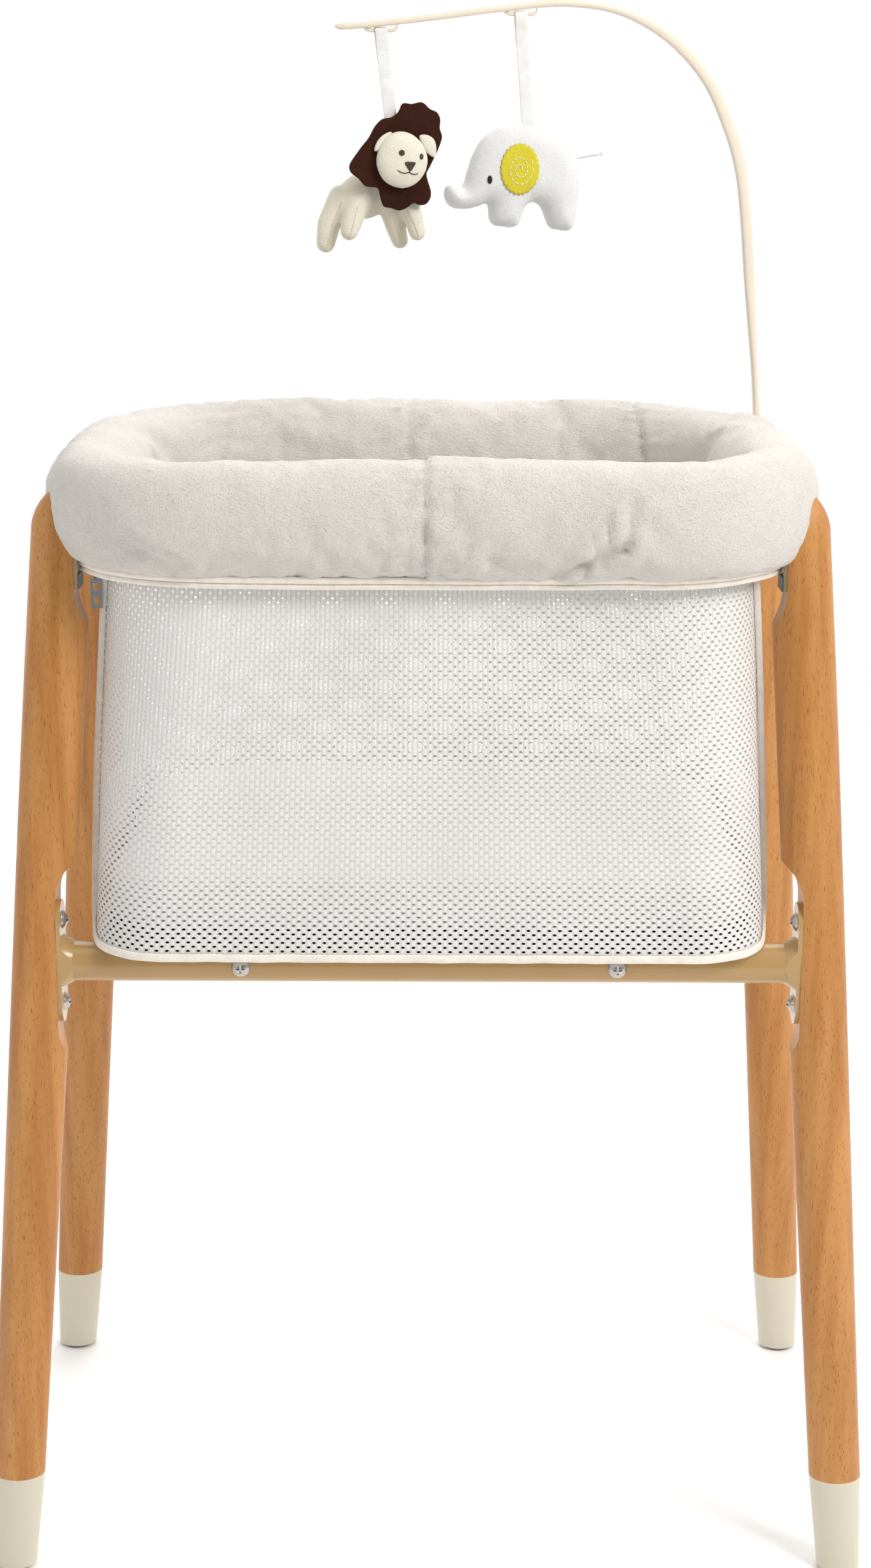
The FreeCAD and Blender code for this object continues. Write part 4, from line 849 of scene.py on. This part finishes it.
# lion
lion = {
    "hang": (-0.0367, 0.0094, 1.1513), "maneFront": -5.6, "maneThick": 4.6,
    "mane": [(12.9, 13.7), (20, 13.2), (28.2, 14.6), (34.6, 9.4), (40.0, 7.1), (43.0, 1.4), (42.4, -5.1),
             (44.4, -12.2), (40.9, -22.1), (34.8, -34.3), (31.8, -41.3), (35.7, -54.7), (32.7, -62.7),
             (26.7, -64.5), (21.7, -62.6), (16.2, -66.3), (9.7, -68.5), (3.5, -66.5), (-2.6, -65.1),
             (-5.5, -56.5), (-7.4, -50.8), (-16.8, -49.8), (-22.2, -44.1), (-28.5, -39.3), (-29.9, -34.1),
             (-26.9, -28.5), (-19.9, -19.2), (-14.4, -12.7), (-9.4, -3.9), (-3.5, 1.7), (3.9, 3.1),
             (9.4, 7.2)],
    "head": [(10.9, -7.5), (18.5, -9.5), (25.5, -15), (30, -22.5), (31.5, -30), (29.5, -38.5), (23.5, -46.5),
             (14.5, -50.8), (6, -50.3), (-2.5, -46), (-7.8, -38), (-9.4, -29.7), (-7.5, -21), (-2.5, -13),
             (4, -8.6)],
    "earLeft": [(3.5, -8.0), (-2.5, -9.5), (-8.5, -15), (-11, -22.8), (-6, -21), (-1, -15)],
    "earRight": [(25.1, -10.9), (31.5, -10.2), (37.2, -14), (38.9, -21.5), (37.2, -27.5), (31.5, -24),
                 (27.5, -17.5)],
    "eyes": [(8.9, -23.7, 2.3, 2.3), (25.2, -26.6, 1.6, 2.3)],
    "nose": [(11.4, -31.0), (15.6, -30.6), (20.0, -31.2), (18.4, -34.6), (15.9, -37.6), (13.2, -34.8)],
    "smile": [[(15.8, -37.0), (15.0, -38.4), (11.5, -39.4), (8.3, -38.6), (5.6, -37.0)],
              [(15.0, -38.4), (17.2, -39.9), (20.2, -40.2), (22.5, -39.5)]],
}
forms = [((-14, 20, -58), (20, 15, 18)), ((4, 16, -52), (17, 13, 17)), ((-26, 22, -64), (13, 12, 15))]
forms += chain([((-31, 24, -60), 11), ((-41, 26, -80), 9.5), ((-44, 25, -95), 7.6)], 9)
forms += chain([((-20, 13, -64), 9.5), ((-26, 10, -79), 8.2), ((-28, 9, -85), 7.2)], 7)
forms += chain([((6, 18, -60), 10), ((12, 21, -80), 8.6), ((16, 22, -93), 6.8)], 9)
forms += chain([((17, 10, -52), 9), ((24, 8, -74), 7.8), ((27, 7, -86), 6.8)], 9)
lionBody = blob("lionBody", forms, 1.7, 6, "lionBody", "lion", lion["hang"])
lines = [[(-33, -62), (-40, -80), (-45, -100)], [(-22, -66), (-26, -80), (-29, -91)],
         [(18, -68), (24, -80), (28, -92)],
         [(9, -72), (12, -84), (16, -98)]]
stitched("lionSeams", lionBody, lines, 0.28, "lion", "lion", lion["hang"], 8)
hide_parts("lion_body")

maneShape = smoothLoop(lion["mane"], 3)
bm = newBm()
verts = [bm.verts.new((p.x, lion["maneFront"], p.y)) for p in maneShape]
face = bm.faces.new(verts)
made = bmesh.ops.extrude_face_region(bm, geom=[face])
bmesh.ops.translate(bm, vec=(0, lion["maneThick"], 0),
                    verts=[g for g in made["geom"] if isinstance(g, bmesh.types.BMVert)])
bmesh.ops.triangulate(bm, faces=bm.faces)
mane = makePiece("lionMane", bm, "mane", "lion")
remesh(mane, 0.9, 1)
for vert in mane.data.vertices:
    vert.co.y += 0.5 * noise.noise(vert.co * 0.09)
mane.data.transform(toyMatrix(lion["hang"]))
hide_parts("lion_mane")

head = stuffed("lionHead", lion["head"], -9.5, {"thick": 8.5, "reach": 17, "voxel": 1.0, "smooth": 3},
               "lion", "lion", lion["hang"])
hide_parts("lion_head")
for name, points in (("lionEarLeft", lion["earLeft"]), ("lionEarRight", lion["earRight"])):
    stuffed(name, points, -8.0, {"thick": 1.4, "reach": 3, "voxel": 0.7, "smooth": 2},
            "lion", "lion", lion["hang"])
for name, (x, z, wide, tall) in zip(("lionEyeLeft", "lionEyeRight"), lion["eyes"]):
    patch(name, head, oval(x, z, wide, tall), 0.5, "brown", "lion", lion["hang"])
patch("lionNose", head, [(p.x, p.y) for p in smoothLoop(lion["nose"], 3)], 0.6, "brown",
      "lion", lion["hang"])
stitched("lionSmile", head, lion["smile"], 0.42, "brown", "lion", lion["hang"], 4)
print("lion made")

# elephant
elephant = {
    "hang": (0.0720, 0.0341, 1.1600), "middle": 0.0,
    "body": [(-1.3, -10.4), (-16.8, -12.2), (-24.8, -15.9), (-32.3, -21.0), (-37.2, -27.6), (-40.7, -34.1),
             (-43.7, -42.1), (-46.2, -50.1), (-49.2, -59.5), (-55.7, -57.1), (-61.7, -58.0), (-64.2, -64.2),
             (-62.3, -71.3), (-56.3, -76.1), (-46.3, -76.6), (-37.2, -74.6), (-29.4, -71.8), (-27.7, -76.5),
             (-26.6, -86.0), (-21.6, -90.0), (-9.5, -91.1), (-3.4, -89.0), (0.1, -78.8), (3.6, -73.1),
             (9.1, -71.2),
             (15.8, -75.6), (19.9, -85.8), (23.5, -92.0), (31.2, -93.8), (39.3, -93.8), (42.8, -88.6),
             (44.3, -79.9), (45.2, -71.2), (46.2, -63.1), (46.4, -54.5), (46.0, -46.8), (44.9, -39.7),
             (42.3, -33.0), (38.7, -26.8), (34.1, -21.5), (28.5, -17.7), (21.9, -14.4), (14.3, -11.9),
             (6.3, -11.0)],
    "ear": (-6.3, -45.2, 15.6, 19.6), "eye": (-30.7, -53.2, 1.9, 3.3), "teeth": 26,
}
trunk = stuffed("elephantBody", elephant["body"], elephant["middle"],
                {"thick": 15, "reach": 19, "voxel": 1.4, "smooth": 5, "steps": 2},
                "elephant", "elephant", elephant["hang"])
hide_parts("elephant_body")
earX, earZ, earWide, earTall = elephant["ear"]
zigzag = []
for index in range(elephant["teeth"] * 2):
    turn = index / (elephant["teeth"] * 2) * 2 * math.pi
    grow = 1.04 if index % 2 else 0.96
    zigzag.append((earX + earWide * grow * math.cos(turn), earZ + earTall * grow * math.sin(turn)))
earPatch = patch("elephantEar", trunk, zigzag, 1.1, "yellow", "elephant", elephant["hang"],
                 10)
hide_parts("elephant_ear_patch")
spiral = []
for index in range(60):
    turn = index / 60 * 2.2 * 2 * math.pi
    share = 0.10 + 0.62 * index / 60
    spiral.append((earX + earWide * share * math.cos(turn), earZ + earTall * share * math.sin(turn)))
dashes = [spiral[index:index + 2] for index in range(0, 58, 2)]
stitched("earStitches", earPatch, dashes, 0.42, "white", "elephant", elephant["hang"], 3)
x, z, wide, tall = elephant["eye"]
patch("elephantEye", trunk, oval(x, z, wide, tall), 0.7, "black", "elephant", elephant["hang"])
bm = newBm()
tailLine = [(43.5, 1.5, -37.4), (50, 1.5, -36.2), (57, 1.4, -34.9), (63, 1.4, -34.2)]
thread(bm, tailLine, 1.0, 16)
for lean in (-1.6, -0.6, 0.6, 1.5):
    thread(bm, [(62.5, 1.4, -34.2), (66.5, 1.4 + 0.4 * lean, -33.6 + lean)], 0.42, 12)
tail = makePiece("elephantTail", bm, "elephant", "elephant")
tail.data.transform(toyMatrix(elephant["hang"]))
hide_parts("elephant_tail")
print("elephant made")


# mobile arm: a moulded strap with two hanging loops
arm = {
    "base": (0.2725, 0.080), "low": 0.905, "rise": 0.337, "reach": 0.357, "turn": 192.7,
    "line": [(0, -0.175), (0, -0.08), (0, 0), (0.010, 0.130), (0.027, 0.313), (0.045, 0.506), (0.062, 0.622),
             (0.094, 0.722), (0.149, 0.830), (0.238, 0.923), (0.353, 0.982), (0.487, 1.0), (0.635, 0.986),
             (0.773, 0.967), (0.910, 0.950), (1.0, 0.942)],
    "half": [(0, 0.0038, 0.0038), (0.10, 0.0036, 0.0036), (0.19, 0.0026, 0.0036), (0.30, 0.0046, 0.0030),
             (0.46, 0.0050, 0.0028), (0.58, 0.0044, 0.0034), (0.70, 0.0030, 0.0046), (0.98, 0.0028, 0.0044),
             (1.0, 0.0022, 0.0034)],
    "loops": (0.321, 0.2086), "drop": 0.0060, "loopWide": 0.026, "bar": 0.0015,
}
heading = Vector((math.cos(math.radians(arm["turn"])), math.sin(math.radians(arm["turn"])), 0))
armBase = Vector((*arm["base"], arm["low"]))
armLine = []
for index in range(len(arm["line"]) - 1):
    before, start, end, after = (Vector(arm["line"][min(max(index + k, 0), len(arm["line"]) - 1)])
                                 for k in (-1, 0, 1, 2))
    for step in range(12):
        t = step / 12
        armLine.append(0.5 * (2 * start + (end - before) * t
                              + (2 * before - 5 * start + 4 * end - after) * t * t
                              + (3 * start - before - 3 * end + after) * t ** 3))
armLine.append(Vector(arm["line"][-1]))


def armSpot(point):
    return armBase + heading * (point.x * arm["reach"]) + Vector((0, 0, point.y * arm["rise"]))


def armHalf(u):
    for (start, wide, deep), (end, wideNext, deepNext) in zip(arm["half"], arm["half"][1:]):
        if u <= end:
            t = smoothStep(u, start, end)
            return wide + (wideNext - wide) * t, deep + (deepNext - deep) * t
    return arm["half"][-1][1:]


def armPlace(u, v):
    where = u * (len(armLine) - 1)
    index = min(int(where), len(armLine) - 2)
    here = armSpot(armLine[index].lerp(armLine[index + 1], where - index))
    along = (armSpot(armLine[min(index + 1, len(armLine) - 1)])
             - armSpot(armLine[max(index - 1, 0)])).normalized()
    side = heading.cross(Vector((0, 0, 1))).normalized()
    inPlane = side.cross(along).normalized()
    wide, deep = armHalf(u)
    if u > 0.985:
        wide *= math.sqrt(max(0.02, 1 - ((u - 0.985) / 0.015) ** 2))
    turn = v * 2 * math.pi
    across = math.copysign(abs(math.cos(turn)) ** 0.7, math.cos(turn))
    out = math.copysign(abs(math.sin(turn)) ** 0.7, math.sin(turn))
    return here + inPlane * (wide * across) + side * (deep * out)


bm = newBm()
wrapGrid(bm, 260, 20, armPlace)
for reach in arm["loops"]:
    pivot = Vector([j["pos_m"] for j in frame["joints"]
                    if j["child"] == ("lion" if reach > 0.3 else "elephant")][0])

    def loopPlace(u, v, pivot=pivot):
        turn = -u * math.pi
        half = arm["loopWide"] / 2
        middle = pivot + heading * (-half * math.cos(turn) * (1 + 0.10 * math.sin(-turn)))
        middle.z += arm["drop"] * (1 - abs(math.sin(turn)) ** 0.35)
        angle = v * 2 * math.pi
        side = heading.cross(Vector((0, 0, 1))).normalized()
        return middle + side * (arm["bar"] * math.cos(angle)) + Vector((0, 0, arm["bar"] * math.sin(angle)))

    wrapGrid(bm, 60, 10, loopPlace)
bmesh.ops.holes_fill(bm, edges=[e for e in bm.edges if e.is_boundary], sides=24)
mobileArm = makePiece("mobileArm", bm, "armCream", "mobile")
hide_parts("mobile_arm")
print("arm made")


# ribbons
def makeRibbon(name, node, toy, body, lean, sewnIn):
    low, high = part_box(node)
    pivot = Vector([j for j in frame["joints"] if j["child"] == toy][0]["pos_m"])
    settings = {"wide": 0.0100, "thick": 0.0009, "loop": 0.0024}
    turn = Matrix.Rotation(toyTurn, 3, "Z")
    length = pivot.z - low.z + sewnIn
    loop = settings["loop"]

    def ribbonPlace(u, v):
        dist = u * (length + loop * math.pi + 0.022)
        if dist < 0.022:
            local = Vector((0, loop * 0.55, -0.022 + dist))
            face = Vector((0, 1, 0))
        elif dist < 0.022 + loop * math.pi:
            angle = (dist - 0.022) / loop
            local = Vector((0, loop * math.cos(angle), loop * math.sin(angle)))
            face = Vector((0, math.cos(angle), math.sin(angle)))
        else:
            down = dist - 0.022 - loop * math.pi
            ease = smoothStep(down, 0, 0.02)
            local = Vector((0, -loop * (1 - 0.8 * ease) + 0.0004 * math.sin(down * 90), -down))
            face = Vector((0, -1, 0))
        swing = lean * max(0, -local.z) / length
        angle = v * 2 * math.pi
        across = settings["wide"] / 2 * math.copysign(abs(math.cos(angle)) ** 0.3, math.cos(angle))
        out = settings["thick"] / 2 * math.copysign(abs(math.sin(angle)) ** 0.5, math.sin(angle))
        return pivot + turn @ (local + Vector((across + swing, 0, 0)) + face * out)

    bm = newBm()
    wrapGrid(bm, 110, 16, ribbonPlace)
    bmesh.ops.holes_fill(bm, edges=[e for e in bm.edges if e.is_boundary], sides=20)
    ribbon = makePiece(name, bm, "ribbon", body)
    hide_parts(node)
    return ribbon


makeRibbon("lionRibbon", "lion_ribbon", "lion", "lion", 0.0085, 0.004)
makeRibbon("elephantRibbon", "elephant_ribbon", "elephant", "elephant", 0.0068, 0.008)
print("ribbons made")

# floor, light and camera
bm = newBm()
bmesh.ops.create_grid(bm, x_segments=1, y_segments=1, size=2.4, calc_uvs=True)
mesh = bpy.data.meshes.new("ground")
bm.to_mesh(mesh)
bm.free()
ground = bpy.data.objects.new("ground", mesh)
scene.collection.objects.link(ground)
mesh.materials.append(finish["floor"])

world = bpy.data.worlds.new("studio")
world.use_nodes = True
sky = world.node_tree
facing = sky.nodes.new("ShaderNodeTexCoord")
split = sky.nodes.new("ShaderNodeSeparateXYZ")
sky.links.new(facing.outputs["Generated"], split.inputs["Vector"])
glow = sky.nodes.new("ShaderNodeMapRange")
studio = {"From Min": -0.75, "From Max": 0.30, "To Min": 0.26, "To Max": 1.0}
for socket, amount in studio.items():
    glow.inputs[socket].default_value = amount
sky.links.new(split.outputs["Y"], glow.inputs["Value"])
sky.links.new(glow.outputs["Result"], sky.nodes["Background"].inputs["Strength"])
sky.nodes["Background"].inputs["Color"].default_value = (1.0, 1.0, 1.0, 1)
scene.world = world

lamps = {
    "key": {"place": (1.9, -1.7, 2.6), "aim": (0, 0, 0.6), "size": 1.2, "power": 68},
    "fill": {"place": (-2.2, -1.8, 1.8), "aim": (0, 0, 0.7), "size": 2.2, "power": 12},
    "top": {"place": (-0.3, -0.9, 2.9), "aim": (0, 0.15, 0.85), "size": 1.4, "power": 5},
    "back": {"place": (0.2, 2.4, 3.2), "aim": (0, 0, 0.5), "size": 2.6, "power": 45},
}
for name, lamp in lamps.items():
    data = bpy.data.lights.new(name, "AREA")
    data.size = lamp["size"]
    data.energy = lamp["power"]
    data.color = (1.0, 0.985, 0.96)
    light = bpy.data.objects.new(name, data)
    light.location = lamp["place"]
    light.rotation_euler = (Vector(lamp["aim"]) - Vector(lamp["place"])).to_track_quat("-Z", "Y").to_euler()
    scene.collection.objects.link(light)

view = {"place": (0, -2.0854, 1.1733), "down": 15.0, "roll": -0.24, "lens": 59.25, "shift": 0.00184}
camera = bpy.data.objects.new("camera", bpy.data.cameras.new("camera"))
camera.location = view["place"]
camera.rotation_euler = (math.radians(90 - view["down"]), math.radians(view["roll"]), 0)
camera.data.lens = view["lens"]
camera.data.shift_x = view["shift"]
camera.data.clip_start = 0.05
scene.collection.objects.link(camera)
scene.camera = camera
scene.view_settings.view_transform = "Standard"
